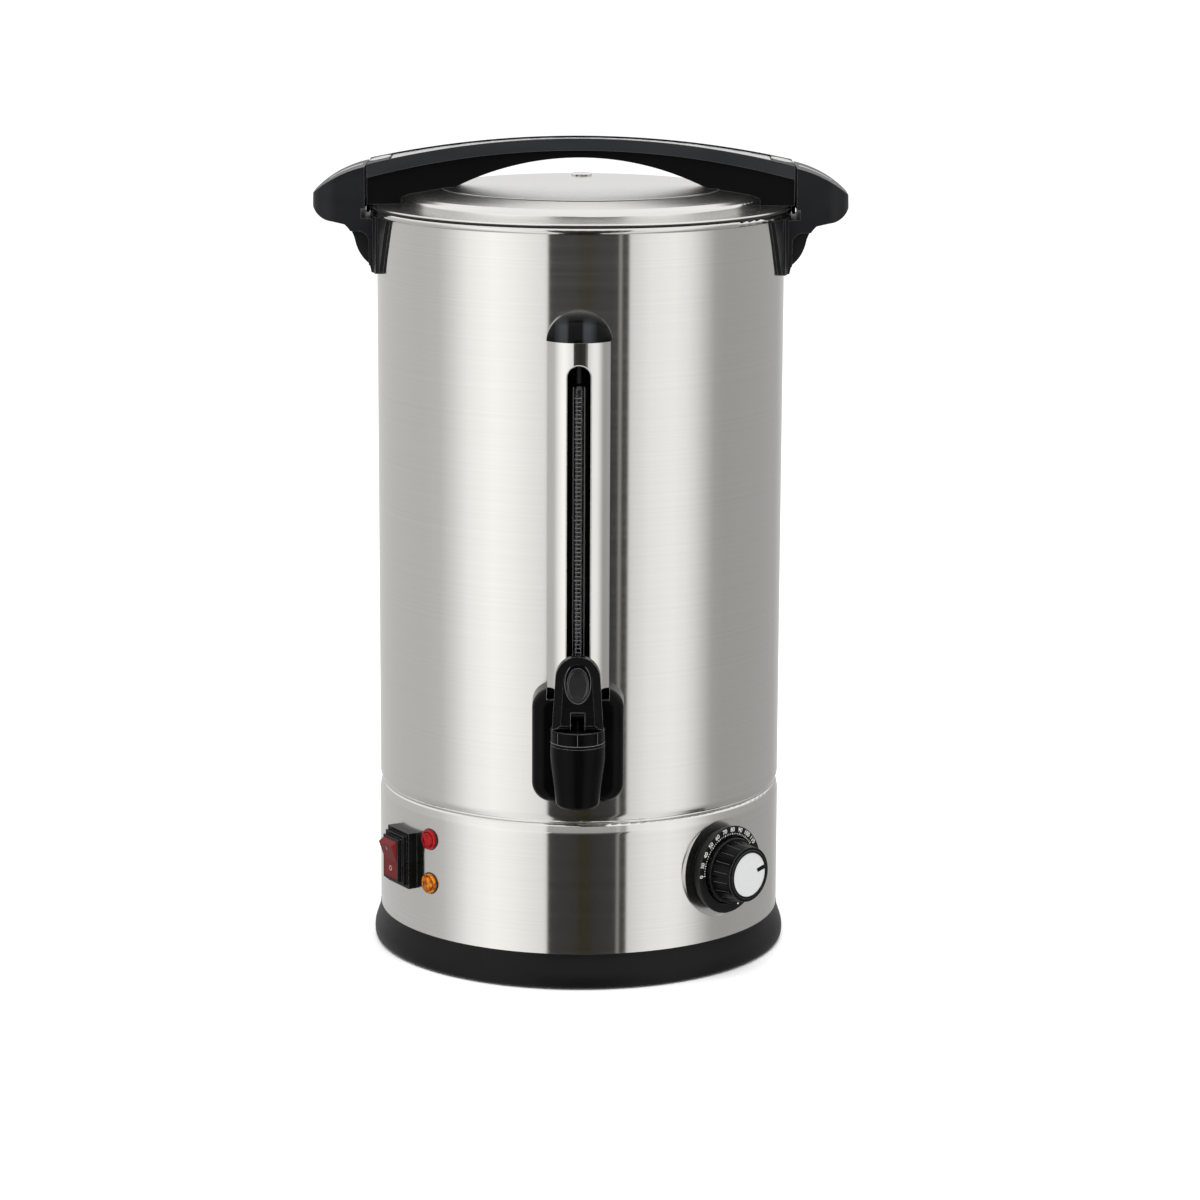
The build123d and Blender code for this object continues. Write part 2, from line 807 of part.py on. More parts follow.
with BuildPart() as lid_handle:
    with BuildSketch(Plane.XY.offset(rim_top)):
        add(arch_outline(arch_half_width - arch_recess, arch_end_half_width - arch_recess))
    extrude(amount=arch_height)
    with BuildSketch(Plane.XZ):
        add(arch_slice(arch_rise - arch_band / 2, arch_end_rise - arch_end_band / 2, 0, -lid_flange_rise))
        add(window(window_foot_rise, window_rise, window_half_length), mode=Mode.SUBTRACT)
    extrude(amount=arch_end_half_width, both=True, mode=Mode.INTERSECT)
    add(arch_face.part)
    add(arch_trough.part, mode=Mode.SUBTRACT)
    # the feet follow the lid's shoulder and wall, and stand clear of its flange
    add(lid_form(-seat_clearance), mode=Mode.SUBTRACT)
    with BuildSketch(Plane.XY.offset(rim_top)):
        Circle(2 * arch_reach)
    extrude(amount=2 * lid_flange_rise + seat_clearance, mode=Mode.SUBTRACT)
    with BuildSketch(Plane.XY.offset(rim_top)):
        with GridLocations(2 * lid_screw_reach, 1, 2, 1):
            Circle(lid_screw_radius + running_clearance)
    extrude(amount=arch_end_rise - arch_end_band, mode=Mode.SUBTRACT)
lid_handle.part.label = "lid_handle"
export_step(lid_handle.part, "parts/lid_handle.step")

lid_screw_level = rim_top + lid_shoulder_rise / 2

with BuildPart() as lid_screws:
    with GridLocations(2 * lid_screw_reach, 1, 2, 1):
        with Locations((0, 0, lid_screw_level)):
            Cylinder(
                lid_screw_radius,
                arch_end_rise - arch_end_band - lid_shoulder_rise / 2 - seat_clearance,
                align=(Align.CENTER, Align.CENTER, Align.MIN),
            )
            Cylinder(
                2 * lid_screw_radius,
                lid_screw_radius,
                align=(Align.CENTER, Align.CENTER, Align.MIN),
            )
lid_screws.part.label = "lid_screws"
export_step(lid_screws.part, "parts/lid_screws.step")

# ---------------------------------------------------------------- side handles

handle_inner = arch_reach + handle_gap
handle_reach = tank_radius + handle_overhang
handle_shelf_reach = handle_reach - handle_shelf_width
handle_foot_reach = tank_radius + handle_foot_thickness
handle_top = rim_top + handle_top_rise
handle_tip = rim_top + handle_tip_rise
handle_shelf = rim_top - handle_shelf_drop
handle_foot = rim_top - handle_foot_drop
handle_grip_height = handle_top_rise + handle_shelf_drop
block_reach = tank_radius + handle_block_thickness
rim_groove_reach = rim_radius + rim_groove_gap


def handle_side_view():
    """A side handle seen from the front: a grip that slopes to its tip, and a gusset under it."""
    tip_top = (handle_reach - handle_tip_lean, handle_tip)
    tip_foot = (handle_reach, handle_tip - handle_tip_height)
    curl_end = (handle_reach - handle_curl_length, handle_shelf + handle_curl_rise)
    shelf_end = (handle_shelf_reach, handle_shelf)
    waist = (handle_shelf_reach - gusset_waist_inset, handle_shelf - gusset_waist_drop)
    toe = (handle_foot_reach + gusset_toe, handle_foot + gusset_toe_height)
    with BuildSketch() as side_view:
        with BuildLine():
            SagittaArc((handle_inner, handle_top), tip_top, handle_brow)
            Line(tip_top, tip_foot)
            SagittaArc(tip_foot, curl_end, handle_curl_bow)
            Line(curl_end, shelf_end)
            SagittaArc(shelf_end, waist, -gusset_hollow)
            SagittaArc(waist, toe, gusset_belly)
            Polyline(
                toe,
                (handle_foot_reach, handle_foot),
                (tank_radius / 2, handle_foot),
                (tank_radius / 2, wall_top - loose_clearance),
                (handle_inner, wall_top - loose_clearance),
                (handle_inner, handle_top),
            )
        make_face()
    return side_view.sketch


with BuildPart() as handle_wing:
    with BuildSketch(Plane.XY.offset(handle_foot)):
        Circle(block_reach)
        with Locations((block_reach, 0)):
            Rectangle(block_reach, 2 * handle_block_half_width, mode=Mode.INTERSECT)
    extrude(amount=wall_top - loose_clearance - handle_foot)
    with BuildSketch(Plane.XY.offset(handle_foot)):
        Circle(tank_radius + wing_thickness)
        with Locations((block_reach, 0)):
            Rectangle(2 * block_reach, 2 * wing_half_width, mode=Mode.INTERSECT)
    extrude(amount=wall_top - loose_clearance - handle_foot)
    with BuildSketch(Plane.YZ) as wing_front:
        with BuildLine():
            Polyline(
                (wing_half_width, wall_top),
                (wing_foot_half_width, handle_foot),
                (-wing_foot_half_width, handle_foot),
                (-wing_half_width, wall_top),
                close=True,
            )
        make_face()
        fillet(wing_front.vertices().group_by(Axis.Y)[0], 2 * wing_thickness)
    extrude(amount=2 * tank_radius, mode=Mode.INTERSECT)

with BuildPart() as side_handle_right:
    with BuildSketch(Plane.XZ):
        add(handle_side_view())
    extrude(amount=handle_half_width, both=True)
    with BuildSketch(Plane.XY.offset(handle_foot)):
        RectangleRounded(2 * handle_reach, 2 * handle_half_width, handle_tip_corner)
    extrude(amount=2 * handle_grip_height + handle_foot_drop, mode=Mode.INTERSECT)
    # a pocket in each face of the gusset leaves a web and a rib along the tank
    for face_plane in (Plane.XZ, Plane.XZ.rotated((0, 0, 180))):
        mirrored = 1 if face_plane.x_dir.X > 0 else -1
        with BuildSketch(face_plane.offset(handle_half_width - handle_pocket)):
            with BuildLine():
                FilletPolyline(
                    (mirrored * block_reach, handle_foot - handle_pocket_rib),
                    (mirrored * block_reach, handle_shelf - handle_pocket_rib),
                    (mirrored * handle_reach, handle_shelf - handle_pocket_rib),
                    radius=handle_pocket,
                )
                Polyline(
                    (mirrored * handle_reach, handle_shelf - handle_pocket_rib),
                    (mirrored * handle_reach, handle_foot - handle_pocket_rib),
                    (mirrored * block_reach, handle_foot - handle_pocket_rib),
                )
            make_face()
        extrude(amount=2 * handle_pocket, mode=Mode.SUBTRACT)
    add(handle_wing.part)
    # the groove that the rim and the lid's flange run in
    with BuildSketch(Plane.XY.offset(rim_top - rim_groove_drop)):
        Circle(rim_groove_reach)
        Circle(block_reach, mode=Mode.SUBTRACT)
    extrude(amount=rim_groove_drop - rim_groove_roof, mode=Mode.SUBTRACT)
    with BuildSketch(Plane.XY.offset(handle_foot)):
        Circle(tank_radius + running_clearance)
    extrude(amount=2 * handle_foot_drop, mode=Mode.SUBTRACT)
    for turn in handle_screw_turns[:2]:
        with BuildSketch(facing(turn, handle_screw_level, tank_inner_radius)):
            Circle(handle_screw_radius + running_clearance)
        extrude(amount=handle_screw_length, mode=Mode.SUBTRACT)
side_handle_right.part.label = "side_handle_right"
export_step(side_handle_right.part, "parts/side_handle_right.step")

with BuildPart() as side_handle_left:
    add(mirror(side_handle_right.part, about=Plane.YZ))
side_handle_left.part.label = "side_handle_left"
export_step(side_handle_left.part, "parts/side_handle_left.step")

seal_inner_reach = tank_inner_radius - handle_seal_thickness

with BuildPart() as handle_screws:
    for turn in handle_screw_turns:
        with BuildSketch(facing(turn, handle_screw_level, seal_inner_reach)):
            Circle(handle_screw_radius)
        extrude(amount=handle_seal_thickness + handle_screw_length - loose_clearance)
        with BuildSketch(facing(turn, handle_screw_level, seal_inner_reach)):
            Circle(2 * handle_screw_radius)
        extrude(amount=-handle_screw_head)
handle_screws.part.label = "handle_screws"
export_step(handle_screws.part, "parts/handle_screws.step")

with BuildPart() as handle_seals:
    for turn in handle_screw_turns:
        with BuildSketch(facing(turn, handle_screw_level, seal_inner_reach)):
            Circle(2 * handle_screw_radius)
            Circle(handle_screw_radius + running_clearance, mode=Mode.SUBTRACT)
        extrude(amount=handle_seal_thickness - seat_clearance)
handle_seals.part.label = "handle_seals"
export_step(handle_seals.part, "parts/handle_seals.step")

# ---------------------------------------------------------------- tap

valve_axis = Plane((0, -tap_reach, tap_outlet_height))
chamber_top = tap_body_height - bonnet_spigot


def pin_plane(offset):
    """The plane across the lever's pin, its X forward and its Y up, offset along the pin."""
    return Plane((offset, -tap_reach, pin_level), x_dir=(0, -1, 0), z_dir=(-1, 0, 0))


valve_section = Plane((0, -tap_reach, tap_outlet_height), x_dir=(1, 0, 0), z_dir=(0, -1, 0))

with BuildPart() as tap_body:
    with BuildSketch(valve_section):
        with BuildLine():
            FilletPolyline(
                (0, 0),
                (tap_outlet_radius, 0),
                (tap_top_radius, 3 * tap_body_height / 4),
                (tap_top_radius, tap_body_height),
                (0, tap_body_height),
                radius=(tap_spout_edge, 2 * tap_body_height, tap_top_edge),
            )
            Line((0, tap_body_height), (0, 0))
        make_face()
    revolve(axis=Axis((0, -tap_reach, 0), (0, 0, 1)))
    # the round boss that seats on the housing, then the socket for the shank's nipple
    with BuildSketch(facing(0, shank_height, housing_front + seat_clearance)):
        Circle(tap_boss_radius)
    extrude(amount=tap_reach - housing_front - seat_clearance)
    with BuildSketch(facing(0, shank_height, housing_front)):
        Circle(shank_nipple + running_clearance)
    extrude(amount=(tap_reach - housing_front) / 2, mode=Mode.SUBTRACT)
    with BuildSketch(valve_axis.offset(tap_seat_height)):
        Circle(tap_wall_bore)
    extrude(amount=tap_body_height - tap_seat_height, mode=Mode.SUBTRACT)
    with BuildSketch(valve_axis.offset(chamber_top)):
        Circle(tap_wall_bore + bonnet_top)
    extrude(amount=bonnet_spigot, mode=Mode.SUBTRACT)
    with BuildSketch(valve_axis):
        Circle(tap_seat_bore)
    extrude(amount=tap_seat_height, mode=Mode.SUBTRACT)
    with BuildSketch(facing(0, shank_height, housing_front)):
        Circle(shank_bore)
    extrude(amount=tap_reach - housing_front, mode=Mode.SUBTRACT)
tap_body.part.label = "tap_body"
export_step(tap_body.part, "parts/tap_body.step")

with BuildPart() as tap_bonnet:
    with BuildSketch(valve_axis.offset(tap_body_height)):
        Circle(tap_top_radius - bonnet_step)
    extrude(amount=bonnet_height)
    chamfer(tap_bonnet.edges().group_by(Axis.Z)[-1], seat_clearance * 4)
    with BuildSketch(valve_axis.offset(chamber_top)):
        Circle(tap_wall_bore + bonnet_top - running_clearance)
    extrude(amount=bonnet_spigot)
    with BuildSketch(valve_axis.offset(chamber_top)):
        Circle(tap_wall_bore)
    extrude(amount=bonnet_spigot + bonnet_height - bonnet_top, mode=Mode.SUBTRACT)
    with BuildSketch(valve_axis.offset(chamber_top)):
        Circle(stem_radius + running_clearance)
    extrude(amount=bonnet_spigot + bonnet_height, mode=Mode.SUBTRACT)
tap_bonnet.part.label = "tap_bonnet"
export_step(tap_bonnet.part, "parts/tap_bonnet.step")

with BuildPart() as tap_stem:
    with BuildSketch(valve_axis.offset(tap_seat_height + seat_cup_height / 2)):
        Circle(stem_radius)
    extrude(amount=pin_level - seat_level - seat_cup_height / 2)
    # the shoulder that the spring pushes down on
    with BuildSketch(valve_axis.offset(tap_seat_height + seat_cup_height)):
        Circle(spring_radius + 2 * spring_wire)
    extrude(amount=spring_wire)
    with BuildSketch(pin_plane(-stem_eye_width / 2)):
        Circle(stem_eye_radius)
    extrude(amount=-stem_eye_width)
    with BuildSketch(pin_plane(-stem_eye_width)):
        Circle(lever_pin_radius + running_clearance)
    extrude(amount=-2 * stem_eye_width, mode=Mode.SUBTRACT)
tap_stem.part.label = "tap_stem"
export_step(tap_stem.part, "parts/tap_stem.step")

with BuildPart() as tap_seat_cup:
    with BuildSketch(valve_section):
        with BuildLine():
            Polyline(
                (0, tap_seat_height),
                (seat_cup_radius, tap_seat_height),
                (seat_cup_radius, tap_seat_height + seat_cup_height / 3),
                (stem_radius + spring_wire, tap_seat_height + seat_cup_height),
                (stem_radius, tap_seat_height + seat_cup_height),
                (stem_radius, tap_seat_height + seat_cup_height / 2),
                (0, tap_seat_height + seat_cup_height / 2),
                close=True,
            )
        make_face()
    revolve(axis=Axis((0, -tap_reach, 0), (0, 0, 1)))
tap_seat_cup.part.label = "tap_seat_cup"
export_step(tap_seat_cup.part, "parts/tap_seat_cup.step")

spring_foot = tap_seat_height + seat_cup_height + 2 * spring_wire
spring_head = tap_body_height + bonnet_height - bonnet_top - spring_wire

with BuildPart() as tap_spring:
    with BuildLine(valve_axis.offset(spring_foot)):
        coil = Helix(
            pitch=(spring_head - spring_foot) / spring_turns,
            height=spring_head - spring_foot,
            radius=spring_radius,
        )
    with BuildSketch(Plane(coil @ 0, z_dir=coil % 0)):
        Circle(spring_wire)
    sweep(is_frenet=True)
tap_spring.part.label = "tap_spring"
export_step(tap_spring.part, "parts/tap_spring.step")

# The lever's toe is an involute of this circle, so the stem rises in step with the lever.
cam_radius = lever_lift / radians(lever_travel)
heel_drop = lever_pin_height - running_clearance


def toe_point(turn):
    """Where the toe touches the bonnet once the lever has turned so far, in radians."""
    reach = heel_drop + cam_radius * turn
    return (
        reach * sin(turn) + cam_radius * cos(turn),
        cam_radius * sin(turn) - reach * cos(turn),
    )


toe_turns = [radians(lever_travel) * step / 4 for step in range(5)]
toe_points = [toe_point(turn) for turn in toe_turns]
toe_reach, toe_drop = toe_points[-1]
lever_crown = lever_height - lever_pin_height
lever_front_foot = toe_reach + lever_toe_edge
lever_front_crown = lever_depth + lever_toe_edge
lever_lean = (lever_front_foot - lever_front_crown) / (lever_crown - toe_drop)
lever_front = Plane((0, -tap_reach, pin_level), x_dir=(1, 0, 0), z_dir=(0, -1, 0))

with BuildPart() as tap_lever:
    # the lever from its side, X forward from the pin
    with BuildSketch(pin_plane(0)):
        with BuildLine():
            Line((-lever_depth, -heel_drop), toe_points[0])
            Spline(toe_points, tangents=((1, 0), (cos(toe_turns[-1]), sin(toe_turns[-1]))))
            Polyline(
                toe_points[-1],
                (lever_front_foot, toe_drop + 2 * lever_toe_edge),
                (lever_front_crown, lever_crown),
                (-lever_depth / 4, lever_crown),
                (-lever_depth, 0),
                (-lever_depth, -heel_drop),
            )
        make_face()
    extrude(amount=lever_width / 2, both=True)
    # and from its front, with the rounded top
    with BuildSketch(lever_front):
        with BuildLine():
            Polyline(
                (-lever_top_width / 2, lever_crown - lever_top_width / 2),
                (-lever_width / 2, -heel_drop - lever_toe_edge),
                (lever_width / 2, -heel_drop - lever_toe_edge),
                (lever_top_width / 2, lever_crown - lever_top_width / 2),
            )
            ThreePointArc(
                (lever_top_width / 2, lever_crown - lever_top_width / 2),
                (0, lever_crown),
                (-lever_top_width / 2, lever_crown - lever_top_width / 2),
            )
        make_face()
    extrude(amount=lever_height, both=True, mode=Mode.INTERSECT)
    front_face = tap_lever.faces().sort_by(Axis((0, 0, 0), (0, -1, lever_lean)))[-1]
    chamfer(
        front_face.edges().filter_by(Axis.X, reverse=True),
        lever_bevel,
        lever_bevel_depth,
        reference=front_face,
    )
    # the slot that clears the stem, open to the front and below
    with BuildSketch(pin_plane(0)):
        with Locations((-stem_eye_radius - loose_clearance, lever_slot_rise)):
            Rectangle(lever_height, lever_height, align=(Align.MIN, Align.MAX))
    extrude(amount=lever_slot_width / 2, both=True, mode=Mode.SUBTRACT)
    with BuildSketch(pin_plane(-lever_pin_length / 2)):
        Circle(lever_pin_radius + running_clearance)
    extrude(amount=-2 * lever_pin_length, mode=Mode.SUBTRACT)
    badge_front = lever_front_foot - lever_lean * (badge_rise - toe_drop)
    badge_centre = (0, -tap_reach - badge_front, pin_level + badge_rise)
    with BuildSketch(Plane(badge_centre, x_dir=(1, 0, 0), z_dir=(0, -1, lever_lean))):
        Ellipse(badge_half_width, badge_half_height)
    extrude(amount=badge_recess, both=True, mode=Mode.SUBTRACT)
tap_lever.part.label = "tap_lever"
export_step(tap_lever.part, "parts/tap_lever.step")

with BuildPart() as lever_pin:
    with BuildSketch(pin_plane(lever_pin_length / 2 - seat_clearance)):
        Circle(lever_pin_radius)
    extrude(amount=lever_pin_length - 2 * seat_clearance)
lever_pin.part.label = "lever_pin"
export_step(lever_pin.part, "parts/lever_pin.step")

# ---------------------------------------------------------------- shank and housing

seal_reach = tank_radius + seal_thickness
flange_reach = seal_reach + shank_flange_thickness
shank_end = (housing_front + tap_reach) / 2 - seat_clearance
gauge_boss_top = shank_height + gauge_boss_rise
inner_seal_reach = tank_inner_radius - seal_thickness

with BuildPart() as tap_shank:
    with BuildSketch(facing(0, shank_height, tank_inner_radius - shank_inside)):
        Circle(shank_radius)
    extrude(amount=shank_inside + seal_reach - tank_inner_radius)
    with BuildSketch(facing(0, shank_height, seal_reach)):
        Circle(shank_flange)
    extrude(amount=shank_flange_thickness)
    with BuildSketch(facing(0, shank_height, flange_reach)):
        Circle(shank_radius)
    extrude(amount=housing_front - housing_wall - seat_clearance - flange_reach)
    with BuildSketch(facing(0, shank_height, flange_reach)):
        Circle(shank_nipple)
    extrude(amount=shank_end - flange_reach)
    # the boss that the gauge glass stands in
    with BuildSketch(Plane((0, -gauge_tube_reach, shank_height))):
        Circle(gauge_boss_radius)
    extrude(amount=gauge_boss_top - shank_height)
    with BuildSketch(Plane((0, -gauge_tube_reach, gauge_boss_top))):
        Circle(gauge_boss_radius - housing_wall / 2)
    extrude(amount=-gauge_seal_height, mode=Mode.SUBTRACT)
    with BuildSketch(Plane((0, -gauge_tube_reach, shank_height))):
        Circle(gauge_tube_radius - gauge_tube_wall)
    extrude(amount=gauge_boss_top - shank_height, mode=Mode.SUBTRACT)
    with BuildSketch(facing(0, shank_height, 0)):
        Circle(shank_bore)
    extrude(amount=tap_reach, mode=Mode.SUBTRACT)
tap_shank.part.label = "tap_shank"
export_step(tap_shank.part, "parts/tap_shank.step")

with BuildPart() as tap_seals:
    with BuildSketch(facing(0, shank_height, 0)):
        Circle(shank_flange)
        Circle(shank_radius + running_clearance, mode=Mode.SUBTRACT)
    extrude(amount=seal_reach)
    with BuildSketch(Plane.XY):
        Circle(tank_radius + running_clearance)
    extrude(amount=2 * shank_height, mode=Mode.SUBTRACT)
    with BuildPart(mode=Mode.PRIVATE) as inner_seal:
        with BuildSketch(Plane.XY):
            Circle(tank_inner_radius - running_clearance)
        extrude(amount=2 * shank_height)
        with BuildSketch(facing(0, shank_height, inner_seal_reach)):
            Circle(shank_flange)
            Circle(shank_radius + running_clearance, mode=Mode.SUBTRACT)
        extrude(amount=2 * seal_thickness, mode=Mode.INTERSECT)
    add(inner_seal.part)
tap_seals.part.label = "tap_seals"
export_step(tap_seals.part, "parts/tap_seals.step")

with BuildPart() as tap_nut:
    with BuildSketch(facing(0, shank_height, inner_seal_reach)):
        RegularPolygon(shank_nut_size, 6)
        Circle(shank_radius + running_clearance, mode=Mode.SUBTRACT)
    extrude(amount=-shank_nut_height)
tap_nut.part.label = "tap_nut"
export_step(tap_nut.part, "parts/tap_nut.step")


def housing_form(inset):
    """The housing's outside with no inset, or its hollow with the wall as inset."""
    with BuildPart() as form:
        with BuildSketch(facing(0, housing_level, tank_radius / 2)):
            RectangleRounded(
                housing_width - 2 * inset, housing_height - 2 * inset, housing_corner - inset
            )
        extrude(amount=housing_front - inset - tank_radius / 2)
        fillet(form.faces().sort_by(Axis.Y)[0].edges(), housing_edge - inset)
    return form.part


with BuildPart() as tap_housing:
    add(housing_form(0))
    add(housing_form(housing_wall), mode=Mode.SUBTRACT)
    with BuildSketch(Plane.XY):
        Circle(tank_radius + running_clearance)
    extrude(amount=2 * housing_top, mode=Mode.SUBTRACT)
    with BuildSketch(facing(0, gauge_foot_height, tank_radius / 2)):
        Rectangle(
            gauge_width + 2 * loose_clearance, housing_height, align=(Align.CENTER, Align.MIN)
        )
    extrude(amount=tank_radius, mode=Mode.SUBTRACT)
    with BuildSketch(facing(0, shank_height, tank_radius)):
        Circle(shank_nipple + seat_clearance)
    extrude(amount=tank_radius, mode=Mode.SUBTRACT)
tap_housing.part.label = "tap_housing"
export_step(tap_housing.part, "parts/tap_housing.step")

# ---------------------------------------------------------------- sight gauge


def gauge_outline(inset, scale_by):
    """The gauge cover seen from above, drawn towards -Y from the tank and scaled from its wall."""
    half_width = (gauge_width / 2 - inset) * scale_by
    front = tank_radius + (gauge_front - inset - tank_radius) * scale_by
    side = tank_radius + (gauge_front - gauge_sagitta - inset - tank_radius) * scale_by
    root = tank_radius + (tank_inner_radius - seal_thickness * 2 - tank_radius) * scale_by
    with BuildSketch() as outline:
        with BuildLine():
            ThreePointArc((-half_width, -side), (0, -front), (half_width, -side))
            Polyline(
                (half_width, -side), (half_width, -root), (-half_width, -root), (-half_width, -side)
            )
        make_face()
    return outline.sketch


cover_top = gauge_top + gauge_cap_lip

with BuildPart() as gauge_cover:
    with BuildSketch(Plane.XY.offset(gauge_foot_height)):
        add(gauge_outline(0, 1))
        add(gauge_outline(gauge_sheet, 1), mode=Mode.SUBTRACT)
    extrude(amount=cover_top - gauge_foot_height)
    with BuildSketch(Plane.XY):
        Circle(tank_radius + running_clearance)
    extrude(amount=2 * gauge_top, mode=Mode.SUBTRACT)
    with BuildSketch(facing(0, gauge_slot_top - gauge_slot_width / 2, tank_radius)):
        Circle(gauge_slot_width / 2)
        Rectangle(
            gauge_slot_width,
            gauge_slot_top - gauge_slot_width / 2 - housing_top,
            align=(Align.CENTER, Align.MAX),
        )
    extrude(amount=tank_radius, mode=Mode.SUBTRACT)
gauge_cover.part.label = "gauge_cover"
export_step(gauge_cover.part, "parts/gauge_cover.step")

cap_steps = (0, 0.3, 0.55, 0.75, 0.9, 0.98)

with BuildPart() as gauge_cap:
    for step in cap_steps:
        with BuildSketch(Plane.XY.offset(gauge_top + step * gauge_cap_height)):
            add(gauge_outline(-gauge_cap_proud, sqrt(1 - step**2)))
    loft()
    with BuildSketch(Plane.XY.offset(gauge_top)):
        add(gauge_outline(-seat_clearance, 1))
    extrude(amount=gauge_cap_lip + seat_clearance, mode=Mode.SUBTRACT)
    with BuildSketch(Plane((0, -gauge_tube_reach, gauge_top))):
        Circle(gauge_plug_pin + running_clearance)
    extrude(amount=gauge_cap_height / 2, mode=Mode.SUBTRACT)
    with BuildSketch(Plane.XY.offset(gauge_foot_height)):
        Circle(tank_radius + running_clearance)
    extrude(amount=2 * gauge_length, mode=Mode.SUBTRACT)
gauge_cap.part.label = "gauge_cap"
export_step(gauge_cap.part, "parts/gauge_cap.step")

with BuildPart() as gauge_backing:
    with BuildSketch(Plane.XY.offset(gauge_foot_height)):
        with Locations((0, -tank_radius - running_clearance)):
            Rectangle(gauge_backing_width, gauge_backing_thickness, align=(Align.CENTER, Align.MAX))
    extrude(amount=gauge_length + gauge_cap_lip)
gauge_backing.part.label = "gauge_backing"
export_step(gauge_backing.part, "parts/gauge_backing.step")

tube_foot = gauge_boss_top - gauge_seal_height
tube_shoulder = gauge_tube_top - gauge_tube_radius
tube_section = Plane((0, -gauge_tube_reach, 0), x_dir=(1, 0, 0), z_dir=(0, -1, 0))
tube_axis = Axis((0, -gauge_tube_reach, 0), (0, 0, 1))
tube_bore = gauge_tube_radius - gauge_tube_wall

with BuildPart() as gauge_tube:
    with BuildSketch(tube_section):
        with Locations((0, tube_foot)):
            Rectangle(gauge_tube_radius, tube_shoulder - tube_foot, align=(Align.MIN, Align.MIN))
        with Locations((0, tube_shoulder)):
            Circle(gauge_tube_radius)
        with Locations((0, tube_foot)):
            Rectangle(
                tube_bore,
                tube_shoulder - tube_foot,
                align=(Align.MIN, Align.MIN),
                mode=Mode.SUBTRACT,
            )
        with Locations((0, tube_shoulder)):
            Circle(tube_bore, mode=Mode.SUBTRACT)
        with Locations((-gauge_length, tube_foot)):
            Rectangle(
                gauge_length + gauge_plug_pin + running_clearance,
                2 * gauge_length,
                align=(Align.MIN, Align.MIN),
                mode=Mode.SUBTRACT,
            )
    revolve(axis=tube_axis)
gauge_tube.part.label = "gauge_tube"
export_step(gauge_tube.part, "parts/gauge_tube.step")

with BuildPart() as gauge_plug:
    with BuildSketch(Plane((0, -gauge_tube_reach, tube_shoulder))):
        Circle(gauge_plug_pin)
    extrude(amount=cover_top + gauge_cap_lip - tube_shoulder)
    with BuildSketch(Plane((0, -gauge_tube_reach, gauge_slot_top + gauge_seal_height))):
        Circle(gauge_plug_radius)
    extrude(amount=cover_top - gauge_slot_top - gauge_seal_height)
gauge_plug.part.label = "gauge_plug"
export_step(gauge_plug.part, "parts/gauge_plug.step")

with BuildPart() as gauge_seal:
    with BuildSketch(Plane((0, -gauge_tube_reach, tube_foot))):
        Circle(gauge_boss_radius - housing_wall / 2 - running_clearance)
        Circle(gauge_tube_radius + running_clearance, mode=Mode.SUBTRACT)
    extrude(amount=gauge_seal_height)
gauge_seal.part.label = "gauge_seal"
export_step(gauge_seal.part, "parts/gauge_seal.step")

# ---------------------------------------------------------------- dial, knob and thermostat

dial_reach = pad_reach + dial_thickness
knob_reach = dial_reach + knob_gap
knob_front = knob_reach + knob_length
pointer_ring = knob_cap_radius - pointer_margin - pointer_length / 2

with BuildPart() as dial_plate:
    with BuildSketch(facing(knob_angle, control_level, pad_reach)):
        Circle(dial_radius)
        Circle(bush_radius + seat_clearance, mode=Mode.SUBTRACT)
    extrude(amount=dial_thickness)
dial_plate.part.label = "dial_plate"
export_step(dial_plate.part, "parts/dial_plate.step")

with BuildPart() as knob:
    with BuildSketch(facing(knob_angle, control_level, knob_reach)):
        Circle(knob_flange_radius)
    extrude(amount=knob_flange_thickness)
    with BuildSketch(facing(knob_angle, control_level, knob_reach + knob_flange_thickness)):
        Circle(knob_radius)
    with BuildSketch(facing(knob_angle, control_level, knob_front)):
        Circle(knob_front_radius)
    loft()
    with BuildSketch(facing(knob_angle, control_level, knob_reach + knob_flange_thickness)):
        with PolarLocations(knob_radius + knob_flute_radius / 2, knob_flutes):
            Circle(knob_flute_radius)
    extrude(amount=knob_length, mode=Mode.SUBTRACT)
    with BuildSketch(facing(knob_angle, control_level, knob_reach)):
        Circle(bush_nut_size + loose_clearance)
    extrude(amount=knob_recess, mode=Mode.SUBTRACT)
    with BuildSketch(facing(knob_angle, control_level, knob_reach)):
        Circle(shaft_radius + running_clearance)
    extrude(amount=knob_length - 2 * knob_cap_thickness, mode=Mode.SUBTRACT)
    with BuildSketch(facing(knob_angle, control_level, knob_front)):
        Circle(knob_cap_radius + running_clearance)
    extrude(amount=-knob_cap_thickness / 2, mode=Mode.SUBTRACT)
knob.part.label = "knob"
export_step(knob.part, "parts/knob.step")

# the cap's pointer is a notch that shows the knob behind it
with BuildPart() as knob_cap:
    with BuildSketch(facing(knob_angle, control_level, knob_front - knob_cap_thickness / 2)):
        Circle(knob_cap_radius)
    extrude(amount=knob_cap_thickness)
    with BuildSketch(facing(knob_angle, control_level, knob_front - knob_cap_thickness / 2)):
        with PolarLocations(pointer_ring, 1, start_angle=90 - pointer_angle):
            Rectangle(pointer_length, pointer_width)
    extrude(amount=knob_cap_thickness, mode=Mode.SUBTRACT)
knob_cap.part.label = "knob_cap"
export_step(knob_cap.part, "parts/knob_cap.step")

shaft_front = knob_front - 2 * knob_cap_thickness - loose_clearance

